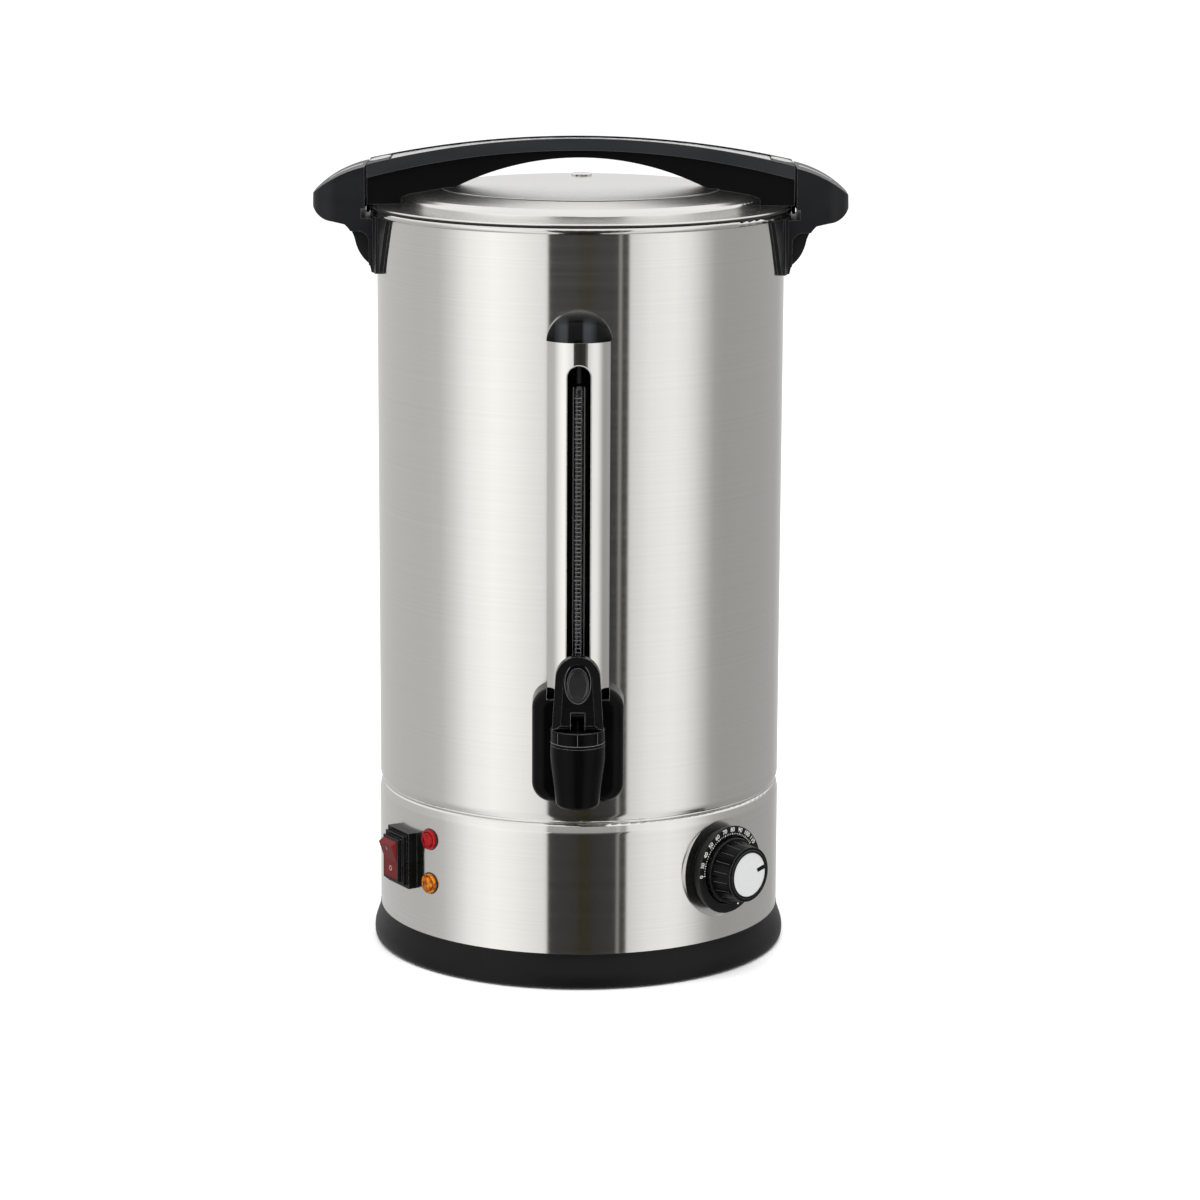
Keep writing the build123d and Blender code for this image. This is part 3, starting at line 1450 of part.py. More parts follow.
with BuildPart() as thermostat_shaft:
    with BuildSketch(facing(knob_angle, control_level, shaft_front)):
        Circle(shaft_radius)
    extrude(amount=-shaft_length)
    with BuildSketch(facing(knob_angle, control_level, shaft_front)):
        with Locations((0, shaft_radius - shaft_flat)):
            Rectangle(2 * shaft_radius, shaft_radius, align=(Align.CENTER, Align.MIN))
    extrude(amount=knob_recess - knob_length + knob_recess, mode=Mode.SUBTRACT)
thermostat_shaft.part.label = "thermostat_shaft"
export_step(thermostat_shaft.part, "parts/thermostat_shaft.step")

pad_back = pad_reach - skirt_sheet

with BuildPart() as thermostat:
    with BuildSketch(facing(knob_angle, control_level, pad_back)):
        RectangleRounded(thermostat_size, thermostat_size, 2 * bush_nut_height)
    extrude(amount=-thermostat_depth)
    with BuildSketch(facing(knob_angle, control_level, pad_back)):
        Circle(bush_radius)
    extrude(amount=bush_length)
    with BuildSketch(facing(knob_angle, control_level, pad_back + bush_length)):
        Circle(shaft_radius + running_clearance)
    extrude(amount=-bush_length - thermostat_depth + knob_recess, mode=Mode.SUBTRACT)
thermostat.part.label = "thermostat"
export_step(thermostat.part, "parts/thermostat.step")

with BuildPart() as thermostat_nut:
    with BuildSketch(facing(knob_angle, control_level, dial_reach)):
        RegularPolygon(bush_nut_size, 6)
        Circle(bush_radius + running_clearance, mode=Mode.SUBTRACT)
    extrude(amount=bush_nut_height)
thermostat_nut.part.label = "thermostat_nut"
export_step(thermostat_nut.part, "parts/thermostat_nut.step")

# ---------------------------------------------------------------- pilot lamps

lamp_reach = skirt_radius + running_clearance
skirt_inside = skirt_radius - skirt_sheet


def pilot_lens(level):
    """A domed lens with a plug behind it, pushed through the skirt."""
    with BuildPart() as lens:
        with BuildSketch(facing(lamp_angle, level, lamp_reach)):
            Circle(lamp_radius)
        extrude(amount=lamp_proud)
        lens_front = lens.faces().sort_by(Axis((0, 0, 0), facing(lamp_angle, 0, 0).z_dir))[-1]
        fillet(lens_front.edges(), lamp_proud - lamp_rim)
        with BuildSketch(facing(lamp_angle, level, lamp_reach)):
            Circle(lamp_stem_radius)
        extrude(amount=-lamp_plug_length)
    return lens.part


with BuildPart() as lamp_red:
    add(pilot_lens(lamp_red_level))
lamp_red.part.label = "lamp_red"
export_step(lamp_red.part, "parts/lamp_red.step")

with BuildPart() as lamp_amber:
    add(pilot_lens(lamp_amber_level))
lamp_amber.part.label = "lamp_amber"
export_step(lamp_amber.part, "parts/lamp_amber.step")

with BuildPart() as lamp_holders:
    for level in (lamp_red_level, lamp_amber_level):
        with BuildSketch(facing(lamp_angle, level, skirt_inside - seat_clearance * 2)):
            Circle(lamp_holder_radius)
        extrude(amount=-lamp_holder_length)
        with BuildSketch(facing(lamp_angle, level, lamp_reach)):
            Circle(lamp_stem_radius + running_clearance)
        extrude(amount=-lamp_plug_length - seat_clearance, mode=Mode.SUBTRACT)
lamp_holders.part.label = "lamp_holders"
export_step(lamp_holders.part, "parts/lamp_holders.step")

# ---------------------------------------------------------------- rocker switch

rocker_pivot_reach = skirt_radius + rocker_pivot_rise
rocker_opening_width = rocker_width + 2 * rocker_wall
rocker_opening_height = rocker_height + 2 * rocker_wall


def switch_side(tilt):
    """The plane across the rocker's pivot, its X outward and its Y up, tilted top out."""
    front = facing(switch_angle, control_level, rocker_pivot_reach)
    outward = front.z_dir * cos(radians(tilt)) - front.y_dir * sin(radians(tilt))
    return Plane(front.origin, x_dir=outward, z_dir=-front.x_dir)


with BuildPart() as switch_frame:
    with BuildSketch(facing(switch_angle, control_level, skirt_radius - switch_neck)):
        Rectangle(switch_width, switch_height)
    extrude(amount=switch_flange + switch_neck)
    with BuildSketch(Plane.XY):
        Circle(skirt_radius + running_clearance)
    extrude(amount=2 * control_level, mode=Mode.SUBTRACT)
    for step in range(1, switch_steps + 1):
        step_reach = skirt_radius + switch_flange + (step - 1) * switch_step_rise
        with BuildSketch(facing(switch_angle, control_level, step_reach)):
            Rectangle(
                switch_width - 2 * step * switch_step_inset,
                switch_height - 2 * step * switch_step_inset,
            )
        extrude(amount=switch_step_rise)
    with BuildSketch(facing(switch_angle, control_level, skirt_radius - switch_neck)):
        Rectangle(switch_opening_width, switch_opening_height)
    extrude(amount=2 * switch_neck)
    with BuildSketch(switch_side(0)):
        Circle(rocker_height / 2 + rocker_wall)
    extrude(amount=rocker_opening_width / 2, both=True, mode=Mode.SUBTRACT)
    with BuildSketch(facing(switch_angle, control_level, skirt_radius)):
        Rectangle(rocker_opening_width, rocker_opening_height)
    extrude(amount=-switch_neck, mode=Mode.SUBTRACT)
    with BuildSketch(switch_side(0)):
        Circle(rocker_pivot_radius + running_clearance)
    extrude(
        amount=rocker_width / 2 + rocker_pivot_length + seat_clearance, both=True, mode=Mode.SUBTRACT
    )
switch_frame.part.label = "switch_frame"
export_step(switch_frame.part, "parts/switch_frame.step")

# The rocker is drawn level, then turned to rest with its top out.
rocker_slope = sin(radians(rocker_travel / 2)) / cos(radians(rocker_travel / 2))

with BuildPart() as rocker:
    with BuildSketch(switch_side(rocker_travel / 2)):
        with BuildLine():
            Polyline(
                (-rocker_back, -rocker_height),
                (rocker_crown + rocker_height * rocker_slope, -rocker_height),
                (rocker_crown, 0),
                (rocker_crown + rocker_height * rocker_slope, rocker_height),
                (-rocker_back, rocker_height),
                close=True,
            )
        make_face()
        Circle(rocker_height / 2, mode=Mode.INTERSECT)
    extrude(amount=rocker_width / 2, both=True)
    with BuildSketch(switch_side(0)):
        Circle(rocker_pivot_radius)
    extrude(amount=rocker_width / 2 + rocker_pivot_length, both=True)
rocker.part.label = "rocker"
export_step(rocker.part, "parts/rocker.step")

with BuildPart() as switch_body:
    with BuildSketch(facing(switch_angle, control_level, skirt_radius)):
        Rectangle(rocker_opening_width - 2 * seat_clearance, rocker_opening_height - 2 * seat_clearance)
    extrude(amount=-switch_body_depth)
    with BuildSketch(switch_side(0)):
        Circle(rocker_height / 2 + rocker_wall)
    extrude(amount=rocker_width, both=True, mode=Mode.SUBTRACT)
    with BuildSketch(facing(switch_angle, control_level, skirt_radius - switch_body_depth)):
        with GridLocations(rocker_width / 2, rocker_height / 2, 2, 2):
            Rectangle(skirt_sheet, switch_tab_width)
    extrude(amount=-switch_tab_length)
switch_body.part.label = "switch_body"
export_step(switch_body.part, "parts/switch_body.step")

# ---------------------------------------------------------------- mains inlet

inlet_front = skirt_radius + inlet_flange

with BuildPart() as inlet_socket:
    with BuildSketch(facing(180, inlet_level, pad_reach / 2)):
        RectangleRounded(inlet_width, inlet_height, inlet_chamfer)
    extrude(amount=inlet_front - pad_reach / 2)
    with BuildSketch(Plane.XY):
        Circle(skirt_radius + running_clearance)
    extrude(amount=2 * inlet_level, mode=Mode.SUBTRACT)
    with BuildSketch(facing(180, inlet_level, inlet_front)):
        Rectangle(inlet_opening_width, inlet_opening_height)
    extrude(amount=-inlet_cavity_depth - inlet_wall)
    with BuildSketch(facing(180, inlet_level, inlet_front)) as inlet_mouth:
        Rectangle(inlet_cavity_width, inlet_cavity_height)
        chamfer(inlet_mouth.vertices().group_by(Axis.X)[-1], inlet_chamfer)
    extrude(amount=-inlet_cavity_depth, mode=Mode.SUBTRACT)
    for side in (-1, 0, 1):
        with BuildSketch(facing(180, inlet_level + side * inlet_pin_spacing, inlet_front)):
            with Locations((inlet_pin_offset * (1 - 2 * side**2), 0)):
                Rectangle(inlet_pin_height, inlet_pin_width)
        extrude(amount=-2 * inlet_cavity_depth, mode=Mode.SUBTRACT)
    with BuildSketch(facing(180, inlet_level, inlet_front)):
        with GridLocations(1, inlet_screw_spacing, 1, 2):
            Circle(inlet_screw_radius + running_clearance)
    extrude(amount=-2 * inlet_flange, mode=Mode.SUBTRACT)
inlet_socket.part.label = "inlet_socket"
export_step(inlet_socket.part, "parts/inlet_socket.step")

pin_front = inlet_front - inlet_cavity_depth + inlet_pin_length

with BuildPart() as inlet_pins:
    for side in (-1, 0, 1):
        with BuildSketch(facing(180, inlet_level + side * inlet_pin_spacing, pin_front)):
            with Locations((inlet_pin_offset * (1 - 2 * side**2), 0)):
                Rectangle(inlet_pin_height - seat_clearance, inlet_pin_width - seat_clearance)
        extrude(amount=-inlet_pin_length - inlet_wall - inlet_pin_tail)
inlet_pins.part.label = "inlet_pins"
export_step(inlet_pins.part, "parts/inlet_pins.step")

with BuildPart() as inlet_screws:
    with BuildSketch(facing(180, inlet_level, inlet_front)):
        with GridLocations(1, inlet_screw_spacing, 1, 2):
            Circle(inlet_screw_radius)
    extrude(amount=-inlet_screw_length)
    with BuildSketch(facing(180, inlet_level, inlet_front)):
        with GridLocations(1, inlet_screw_spacing, 1, 2):
            Circle(inlet_screw_head)
    extrude(amount=inlet_screw_radius)
inlet_screws.part.label = "inlet_screws"
export_step(inlet_screws.part, "parts/inlet_screws.step")

# ---------------------------------------------------------------- percolator

perc_bore = perc_tube_radius - perc_tube_wall
perc_shelf = rim_top - basket_drop
perc_head = rim_top - perc_head_drop

with BuildPart() as perc_stem:
    with BuildSketch(Plane.XZ):
        with BuildLine():
            # the bell under the tube stands in the well, and the tube rises from its crown
            FilletPolyline(
                (perc_foot_radius - perc_tube_wall, well_floor),
                (perc_foot_radius - perc_tube_wall, well_floor + perc_foot_height - perc_tube_wall),
                (perc_bore, well_floor + perc_foot_height - perc_tube_wall),
                (perc_bore, perc_head),
                radius=(2 * perc_tube_wall, perc_tube_wall),
            )
            offset(amount=perc_tube_wall, side=Side.RIGHT)
        make_face()
    revolve(axis=Axis.Z)
    with BuildSketch(Plane.XY.offset(perc_shelf)):
        Circle(basket_hub_radius)
        Circle(perc_bore, mode=Mode.SUBTRACT)
    extrude(amount=-2 * basket_sheet)
    # notches that let the water in under the bell
    for turn in range(0, 180, 60):
        with BuildSketch(facing(turn, well_floor, 0)):
            Rectangle(perc_tube_radius, perc_tube_radius)
        extrude(amount=2 * perc_foot_radius, both=True, mode=Mode.SUBTRACT)
perc_stem.part.label = "perc_stem"
export_step(perc_stem.part, "parts/perc_stem.step")

basket_hub_bore = perc_tube_radius + loose_clearance
basket_top = perc_shelf + basket_depth

basket_foot = perc_shelf + basket_sheet + seat_clearance

with BuildPart() as basket_floor:
    with BuildSketch(Plane.XY.offset(perc_shelf)):
        Circle(basket_radius - basket_sheet)
        Circle(basket_hub_bore, mode=Mode.SUBTRACT)
        for ring in basket_slot_rings:
            with PolarLocations(ring, basket_slot_count):
                SlotOverall(basket_slot_length, basket_slot_width, mode=Mode.SUBTRACT)
    extrude(amount=basket_sheet)
basket_floor.part.label = "basket_floor"
export_step(basket_floor.part, "parts/basket_floor.step")

with BuildPart() as basket_hub:
    with BuildSketch(Plane.XY.offset(basket_foot)):
        Circle(basket_hub_bore + basket_sheet)
        Circle(basket_hub_bore, mode=Mode.SUBTRACT)
    extrude(amount=basket_top - basket_foot)
basket_hub.part.label = "basket_hub"
export_step(basket_hub.part, "parts/basket_hub.step")

with BuildPart() as basket:
    with BuildSketch(Plane.XZ):
        with BuildLine():
            FilletPolyline(
                (basket_radius - basket_foot_width, basket_foot),
                (basket_radius, basket_foot),
                (basket_radius, basket_top),
                (basket_radius + basket_lip, basket_top),
                radius=(basket_lip, basket_sheet),
            )
            offset(amount=basket_sheet, side=Side.LEFT)
        make_face()
    revolve(axis=Axis.Z)
basket.part.label = "basket"
export_step(basket.part, "parts/basket.step")

spreader_level = basket_top + basket_sheet

with BuildPart() as spreader:
    with BuildSketch(Plane.XZ):
        with BuildLine():
            FilletPolyline(
                (basket_radius + basket_lip, spreader_level),
                (basket_radius - basket_lip, spreader_level),
                (basket_radius - 2 * basket_lip, spreader_level + spreader_rise),
                (basket_hub_bore, spreader_level + spreader_rise),
                radius=2 * basket_sheet,
            )
            offset(amount=basket_sheet, side=Side.RIGHT)
        make_face()
    revolve(axis=Axis.Z)
    with BuildSketch(Plane.XY.offset(spreader_level)):
        for ring in spreader_hole_rings:
            with PolarLocations(ring, spreader_hole_count):
                Circle(spreader_hole_radius)
    extrude(amount=2 * spreader_rise, mode=Mode.SUBTRACT)
spreader.part.label = "spreader"
export_step(spreader.part, "parts/spreader.step")
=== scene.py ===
"""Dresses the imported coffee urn: its finishes, small details, floor, light and camera.

Metres, in the frame's own axes: Z is up and the tap faces -Y. Azimuths are counted from the tap,
positive towards +X. Printed marks and inlays are set on the CAD surfaces by casting rays at them.
"""

import json
import math

import bmesh
import bpy
from mathutils import Matrix, Vector


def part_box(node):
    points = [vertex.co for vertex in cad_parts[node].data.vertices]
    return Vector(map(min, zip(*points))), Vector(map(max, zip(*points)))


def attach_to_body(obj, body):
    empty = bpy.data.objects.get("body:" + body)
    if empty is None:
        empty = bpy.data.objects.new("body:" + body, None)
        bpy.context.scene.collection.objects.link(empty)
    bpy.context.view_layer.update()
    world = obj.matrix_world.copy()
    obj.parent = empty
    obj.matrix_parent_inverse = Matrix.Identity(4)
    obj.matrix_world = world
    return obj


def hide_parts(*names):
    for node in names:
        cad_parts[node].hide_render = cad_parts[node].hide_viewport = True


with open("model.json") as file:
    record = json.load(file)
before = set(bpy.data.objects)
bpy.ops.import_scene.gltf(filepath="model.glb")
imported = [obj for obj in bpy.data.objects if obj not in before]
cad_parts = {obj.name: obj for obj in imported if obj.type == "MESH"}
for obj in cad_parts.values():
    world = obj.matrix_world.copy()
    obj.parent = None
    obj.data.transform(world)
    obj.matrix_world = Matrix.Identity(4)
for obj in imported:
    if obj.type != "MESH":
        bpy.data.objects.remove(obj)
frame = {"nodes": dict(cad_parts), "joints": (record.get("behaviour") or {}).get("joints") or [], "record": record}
NODES = frame["nodes"]
JOINTS = {joint["name"]: joint for joint in frame["joints"]}
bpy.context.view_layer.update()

MM = 0.001
UP = Vector((0, 0, 1))
FRONT = Vector((0, -1, 0))

# ---------------------------------------------------------------- places taken from the frame

KNOB_AXIS = Vector(JOINTS["knob_turn"]["axis"])
KNOB_CENTRE = Vector(JOINTS["knob_turn"]["pos_m"])
ROCKER_CENTRE = Vector(JOINTS["rocker_tilt"]["pos_m"])
ROCKER_AXIS = Vector(JOINTS["rocker_tilt"]["axis"])
OUTSIDE = 0.5  # rays start this far out, clear of every part


def surface_at(node, start, direction):
    """Where a ray meets a CAD node: the point, and the outward normal there."""
    hit, point, normal, _ = NODES[node].ray_cast(start, direction)
    if not hit:
        raise RuntimeError(f"no surface of {node} from {tuple(start)}")
    return point, normal


def placed(point, normal, up=UP):
    """A frame on a surface: Z along the normal and Y as near to up as the surface allows."""
    z_axis = normal.normalized()
    x_axis = up.cross(z_axis).normalized()
    y_axis = z_axis.cross(x_axis)
    return Matrix.Translation(point) @ Matrix((x_axis, y_axis, z_axis)).transposed().to_4x4()


# ---------------------------------------------------------------- finishes


class Finish:
    """A material made of nodes: even values sit on its shader, textures are linked to it."""

    def __init__(self, name, colour, roughness, **values):
        self.material = bpy.data.materials.new(name)
        self.material.use_nodes = True
        self.tree = self.material.node_tree
        self.shader = self.tree.nodes["Principled BSDF"]
        self.shader.inputs["Base Color"].default_value = (*colour, 1)
        self.shader.inputs["Roughness"].default_value = roughness
        for socket, value in values.items():
            self.shader.inputs[socket.replace("_", " ")].default_value = value
        self.place = self.add("ShaderNodeTexCoord").outputs["Object"]

    def add(self, kind, links=(), **values):
        """A node with its inputs set by name or number, and its links made."""
        node = self.tree.nodes.new(kind)
        for key, value in values.items():
            setattr(node, key, value)
        for key, source in dict(links).items():
            if isinstance(source, bpy.types.NodeSocket):
                self.tree.links.new(source, node.inputs[key])
            else:
                node.inputs[key].default_value = source
        return node

    def stretched(self, scale):
        """The object's own coordinates, scaled by axis: a large factor packs them tighter."""
        mapping = self.add("ShaderNodeMapping", {"Vector": self.place, "Scale": scale})
        return mapping.outputs["Vector"]

    def worked(self, operation, first, second=0.0):
        """The result of a math node on one or two numbers."""
        return self.add("ShaderNodeMath", {0: first, 1: second}, operation=operation).outputs[0]

    def turned(self, centre, axis, rings):
        """Coordinates of a spun part: distance from its axis and height along it, times rings."""
        rotation = axis.to_track_quat("Z", "Y").to_euler()
        local = self.add(
            "ShaderNodeMapping",
            {"Vector": self.place, "Location": centre, "Rotation": rotation},
            vector_type="TEXTURE",
        ).outputs["Vector"]
        split = self.add("ShaderNodeSeparateXYZ", {0: local})
        flat = self.add("ShaderNodeCombineXYZ", {0: split.outputs[0], 1: split.outputs[1]})
        radius = self.add("ShaderNodeVectorMath", {0: flat.outputs[0]}, operation="LENGTH")
        outward = self.worked("MULTIPLY", radius.outputs["Value"], rings)
        height = self.worked("MULTIPLY", split.outputs[2], rings)
        spun = self.add("ShaderNodeCombineXYZ", {0: outward, 2: height})
        return spun.outputs[0]

    def noise(self, vector, scale=1.0, detail=3.0, roughness=0.5):
        return self.add(
            "ShaderNodeTexNoise",
            {"Vector": vector, "Scale": scale, "Detail": detail, "Roughness": roughness},
        ).outputs["Fac"]

    def between(self, factor, low, high, start=0.3, end=0.7):
        """A number that runs from low to high as the factor runs from start to end."""
        return self.add(
            "ShaderNodeMapRange",
            {"Value": factor, "From Min": start, "From Max": end, "To Min": low, "To Max": high},
        ).outputs["Result"]

    def mixed(self, factor, first, second):
        """A colour between two, by a factor from 0 to 1. Each is a colour or another node's."""
        mix = self.add("ShaderNodeMix", {"Factor": factor}, data_type="RGBA")
        for key, value in (("A", first), ("B", second)):
            if isinstance(value, bpy.types.NodeSocket):
                self.tree.links.new(value, mix.inputs[key])
            else:
                mix.inputs[key].default_value = (*value, 1)
        return mix.outputs["Result"]

    def edges(self, radius):
        """1 along sharp edges and 0 away from them."""
        rounded = self.add("ShaderNodeBevel", {"Radius": radius}, samples=4)
        flat = self.add("ShaderNodeNewGeometry").outputs["Normal"]
        normals = {0: rounded.outputs["Normal"], 1: flat}
        near = self.add("ShaderNodeVectorMath", normals, operation="DOT_PRODUCT")
        return self.between(near.outputs["Value"], 1, 0, *EDGE_FACING)

    def bump(self, height, distance):
        normal = self.add(
            "ShaderNodeBump", {"Height": height, "Distance": distance, "Strength": 1.0}
        )
        self.tree.links.new(normal.outputs["Normal"], self.shader.inputs["Normal"])

    def drive(self, socket, source):
        self.tree.links.new(source, self.shader.inputs[socket])


STEEL = (0.680, 0.672, 0.645)
STEEL_DARK = (0.640, 0.630, 0.600)
EDGE_FACING = (0.80, 0.97)  # cosines between a face and its rounded edge: where the painted edge highlight is full, and where there is none


def shaded(colour, share):
    """A colour at a share of its brightness."""
    return tuple(share * part for part in colour)


def brushed_steel(name, lines, roughness=0.13, depth=0.0006 * MM):
    """Stainless sheet, brushed round the urn: hair-fine level lines over a slow change of tone."""
    brushing = {"Anisotropic": 1.0, "Anisotropic_Rotation": 0.25}
    steel = Finish(name, STEEL, roughness, Metallic=1.0, **brushing)
    tangent = steel.add("ShaderNodeTangent", direction_type="RADIAL", axis="Z")
    steel.drive("Tangent", tangent.outputs[0])
    fine = steel.noise(steel.stretched(lines), detail=4)
    broad = steel.noise(steel.stretched((lines[0] / 2, lines[1] / 2, lines[2] / 9)), detail=3)
    slow = steel.noise(steel.stretched((7, 7, 2)), detail=2)
    grain = steel.worked("ADD", fine, slow)
    steel.drive("Base Color", steel.mixed(steel.between(grain, 0, 1, 0.7, 1.3), STEEL_DARK, STEEL))
    steel.drive("Roughness", steel.between(broad, roughness - 0.012, roughness + 0.012))
    steel.bump(fine, depth)
    return steel.material


def spun_steel(name, centre, axis, rings, roughness, depth, colour=STEEL, metallic=1.0):
    """Metal finished on a lathe: fine rings about its axis. Painted silver is less of a metal."""
    metal = Finish(name, colour, roughness, Metallic=metallic)
    grooves = metal.noise(metal.turned(centre, axis, rings), detail=3)
    broad = metal.noise(metal.turned(centre, axis, rings / 14), detail=2)
    grain = metal.worked("ADD", grooves, broad)
    metal.drive("Roughness", metal.between(grain, roughness - 0.03, roughness + 0.03, 0.7, 1.3))
    darker = shaded(colour, 0.975)
    metal.drive("Base Color", metal.mixed(metal.between(broad, 0, 1), darker, colour))
    metal.bump(grooves, depth)
    return metal.material


def polished_steel(name):
    """Bright drawn strip: near mirror, with faint draw lines up and down."""
    strip = Finish(name, STEEL, 0.10, Metallic=1.0)
    lines = strip.noise(strip.stretched((2400, 2400, 10)), detail=3)
    cloud = strip.noise(strip.stretched((30, 30, 12)), detail=2)
    strip.drive("Base Color", strip.mixed(strip.between(cloud, 0, 1), STEEL_DARK, STEEL))
    strip.drive("Roughness", strip.between(lines, 0.07, 0.15))
    strip.bump(lines, 0.0008 * MM)
    return strip.material


def plated(name, colour, roughness, mottle=0.12):
    """Plated or rolled metal out of sight: a soft mottle, with finer pits."""
    metal = Finish(name, colour, roughness, Metallic=1.0)
    patches = metal.noise(metal.place, scale=120, detail=4)
    pits = metal.noise(metal.place, scale=1800, detail=2)
    darker = shaded(colour, 1 - mottle)
    metal.drive("Base Color", metal.mixed(metal.between(patches, 0, 1), darker, colour))
    metal.drive("Roughness", metal.between(patches, roughness - 0.06, roughness + 0.08))
    metal.bump(pits, 0.008 * MM)
    return metal.material


def moulded(
    name,
    colour,
    roughness,
    shine=0.2,
    grain_size=0.5 * MM,
    grain_depth=0.012 * MM,
    edge_highlight=None,
    set_back_shade=None,
):
    """Moulded plastic: a spark-eroded grain, slow shine changes and faint flow marks.

    The edge colour, when given, is a highlight painted along its sharp edges; the recess colour, when given, is
    shade painted on the arch's set-back face under its brow.
    """
    plastic = Finish(name, colour, roughness, Specular_IOR_Level=shine)
    grain = plastic.noise(plastic.place, scale=1 / grain_size, detail=3, roughness=0.6)
    flow = plastic.noise(plastic.stretched((18, 18, 42)), detail=3)
    lighter = tuple(1.25 * part + 0.001 for part in colour)
    shade = plastic.mixed(plastic.between(flow, 0, 1), colour, lighter)
    # shade painted on the arch's set-back face, under its brow
    if set_back_shade:
        shade = plastic.mixed(brow_clear_of_painted_shade(plastic), set_back_shade, shade)
    # a highlight painted along sharp edges
    if edge_highlight:
        shade = plastic.mixed(plastic.edges(EDGE_HIGHLIGHT_REACH), shade, edge_highlight)
    plastic.drive("Base Color", shade)
    plastic.drive("Roughness", plastic.between(flow, roughness - 0.04, roughness + 0.06))
    plastic.bump(grain, grain_depth)
    return plastic.material


# The arch's face set back under its brow is painted darker than the brow, as shade; these place the line where
# that painted shade begins.
BROW_CURVE = 0.683  # how fast the arch widens towards its ends: metres per square metre
BROW_LINE = 10.7 * MM  # half the arch's width at its middle, where its brow starts
BROW_BLEND = 0.3 * MM


def brow_clear_of_painted_shade(plastic):
    """1 on the arch's brow and 0 on the face set back under it, which is painted in shade."""
    split = plastic.add("ShaderNodeSeparateXYZ", {0: plastic.place})
    across = plastic.worked("ABSOLUTE", split.outputs[1])
    square = plastic.worked("POWER", split.outputs[0], 2.0)
    ahead = plastic.worked("ADD", across, plastic.worked("MULTIPLY", square, -BROW_CURVE))
    return plastic.between(ahead, 0, 1, BROW_LINE - BROW_BLEND, BROW_LINE + BROW_BLEND)


# Where a sheen is painted on the gauge cap, as a painted reflection set in the cap's own coordinates.
CAP_PAINTED_SHEEN_MIDDLE = -2.3 * MM
CAP_PAINTED_SHEEN_FROM = (4.0 * MM, 5.8 * MM)  # to each side of the middle, the painted sheen comes and goes
CAP_PAINTED_SHEEN_TO = (9.0 * MM, 14.0 * MM)
CAP_PAINTED_SHEEN_TOP = (10.0 * MM, 15.0 * MM)  # over the cap's foot, where the painted sheen fades out


def painted_sheen_cap(name):
    """Polished black, with a soft sheen painted into its colour to each side of its middle: a painted reflection.
    Its sharp edges carry a painted highlight.
    """
    cap = Finish(name, JET, 0.16, Specular_IOR_Level=0.08)
    split = cap.add("ShaderNodeSeparateXYZ", {0: cap.place})
    across = cap.worked("ABSOLUTE", cap.worked("SUBTRACT", split.outputs[0], CAP_PAINTED_SHEEN_MIDDLE))
    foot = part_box("gauge_cap")[0].z
    low, high = (foot + level for level in CAP_PAINTED_SHEEN_TOP)
    painted_sheen = cap.between(across, 0, 1, *CAP_PAINTED_SHEEN_FROM)
    painted_sheen = cap.worked("MULTIPLY", painted_sheen, cap.between(across, 1, 0, *CAP_PAINTED_SHEEN_TO))
    painted_sheen = cap.worked("MULTIPLY", painted_sheen, cap.between(split.outputs[2], 1, 0, low, high))
    grain = cap.noise(cap.place, scale=900, detail=3)
    # the painted sheen, mixed into the cap's black
    shade = cap.mixed(painted_sheen, JET, CAP_PAINTED_SHEEN)
    cap.drive("Base Color", cap.mixed(cap.edges(EDGE_HIGHLIGHT_REACH), shade, EDGE_HIGHLIGHT_BRIGHT))
    cap.drive("Roughness", cap.between(grain, 0.14, 0.18))
    cap.bump(grain, GLOSS_GRAIN)
    return cap.material


def translucent(name, colour, deep, facets, shine, roughness=0.12):
    """Tinted plastic, darker where it is seen edge on, over the facets of its ribbed back."""
    clear = {"Transmission_Weight": 0.12, "IOR": 1.49}
    lens = Finish(name, colour, roughness, Specular_IOR_Level=shine, **clear)
    cells = lens.add("ShaderNodeTexVoronoi", {"Vector": lens.place, "Scale": 420.0})
    facing = lens.add("ShaderNodeLayerWeight", {"Blend": 0.5}).outputs["Facing"]
    ribs = lens.between(cells.outputs["Distance"], 0, facets, 0.2, 0.8)
    shade = lens.worked("ADD", lens.worked("POWER", facing, 2.0), ribs)
    lens.drive("Base Color", lens.mixed(lens.between(shade, 0, 1, 0, 1), colour, deep))
    lens.bump(lens.noise(lens.place, scale=200, detail=1), 0.004 * MM)
    return lens.material


def clear_glass(name):
    """Borosilicate tube, with the faintest draw lines along it."""
    glass = Finish(name, (0.30, 0.32, 0.31), 0.02, Transmission_Weight=1.0, IOR=1.47)
    glass.bump(glass.noise(glass.stretched((900, 900, 6)), detail=2), 0.004 * MM)
    return glass.material


def printed(name, colour):
    """Screen-printed ink: matt, a little uneven in cover."""
    ink = Finish(name, colour, 0.55)
    cover = ink.noise(ink.place, scale=1500, detail=3)
    thin = shaded(colour, 0.82)
    ink.drive("Base Color", ink.mixed(ink.between(cover, 0, 1, 0.2, 0.5), thin, colour))
    ink.bump(cover, 0.005 * MM)
    return ink.material


BLACK = (0.0040, 0.0040, 0.0042)
DEEP_BLACK = (0.0022, 0.0022, 0.0024)
CHARCOAL = (0.0190, 0.0200, 0.0220)
JET = (0.0012, 0.0012, 0.0013)
# Highlights painted along the sharp edges of black parts: a soft one and a bright one.
EDGE_HIGHLIGHT_SOFT = (0.12, 0.12, 0.12)
EDGE_HIGHLIGHT_BRIGHT = (0.24, 0.24, 0.24)
SOFT_BLACK = (0.0080, 0.0082, 0.0090)
BADGE_GREY = (0.0090, 0.0092, 0.0098)
# the colour of the sheen painted on the gauge cap
CAP_PAINTED_SHEEN = (0.026, 0.028, 0.032)
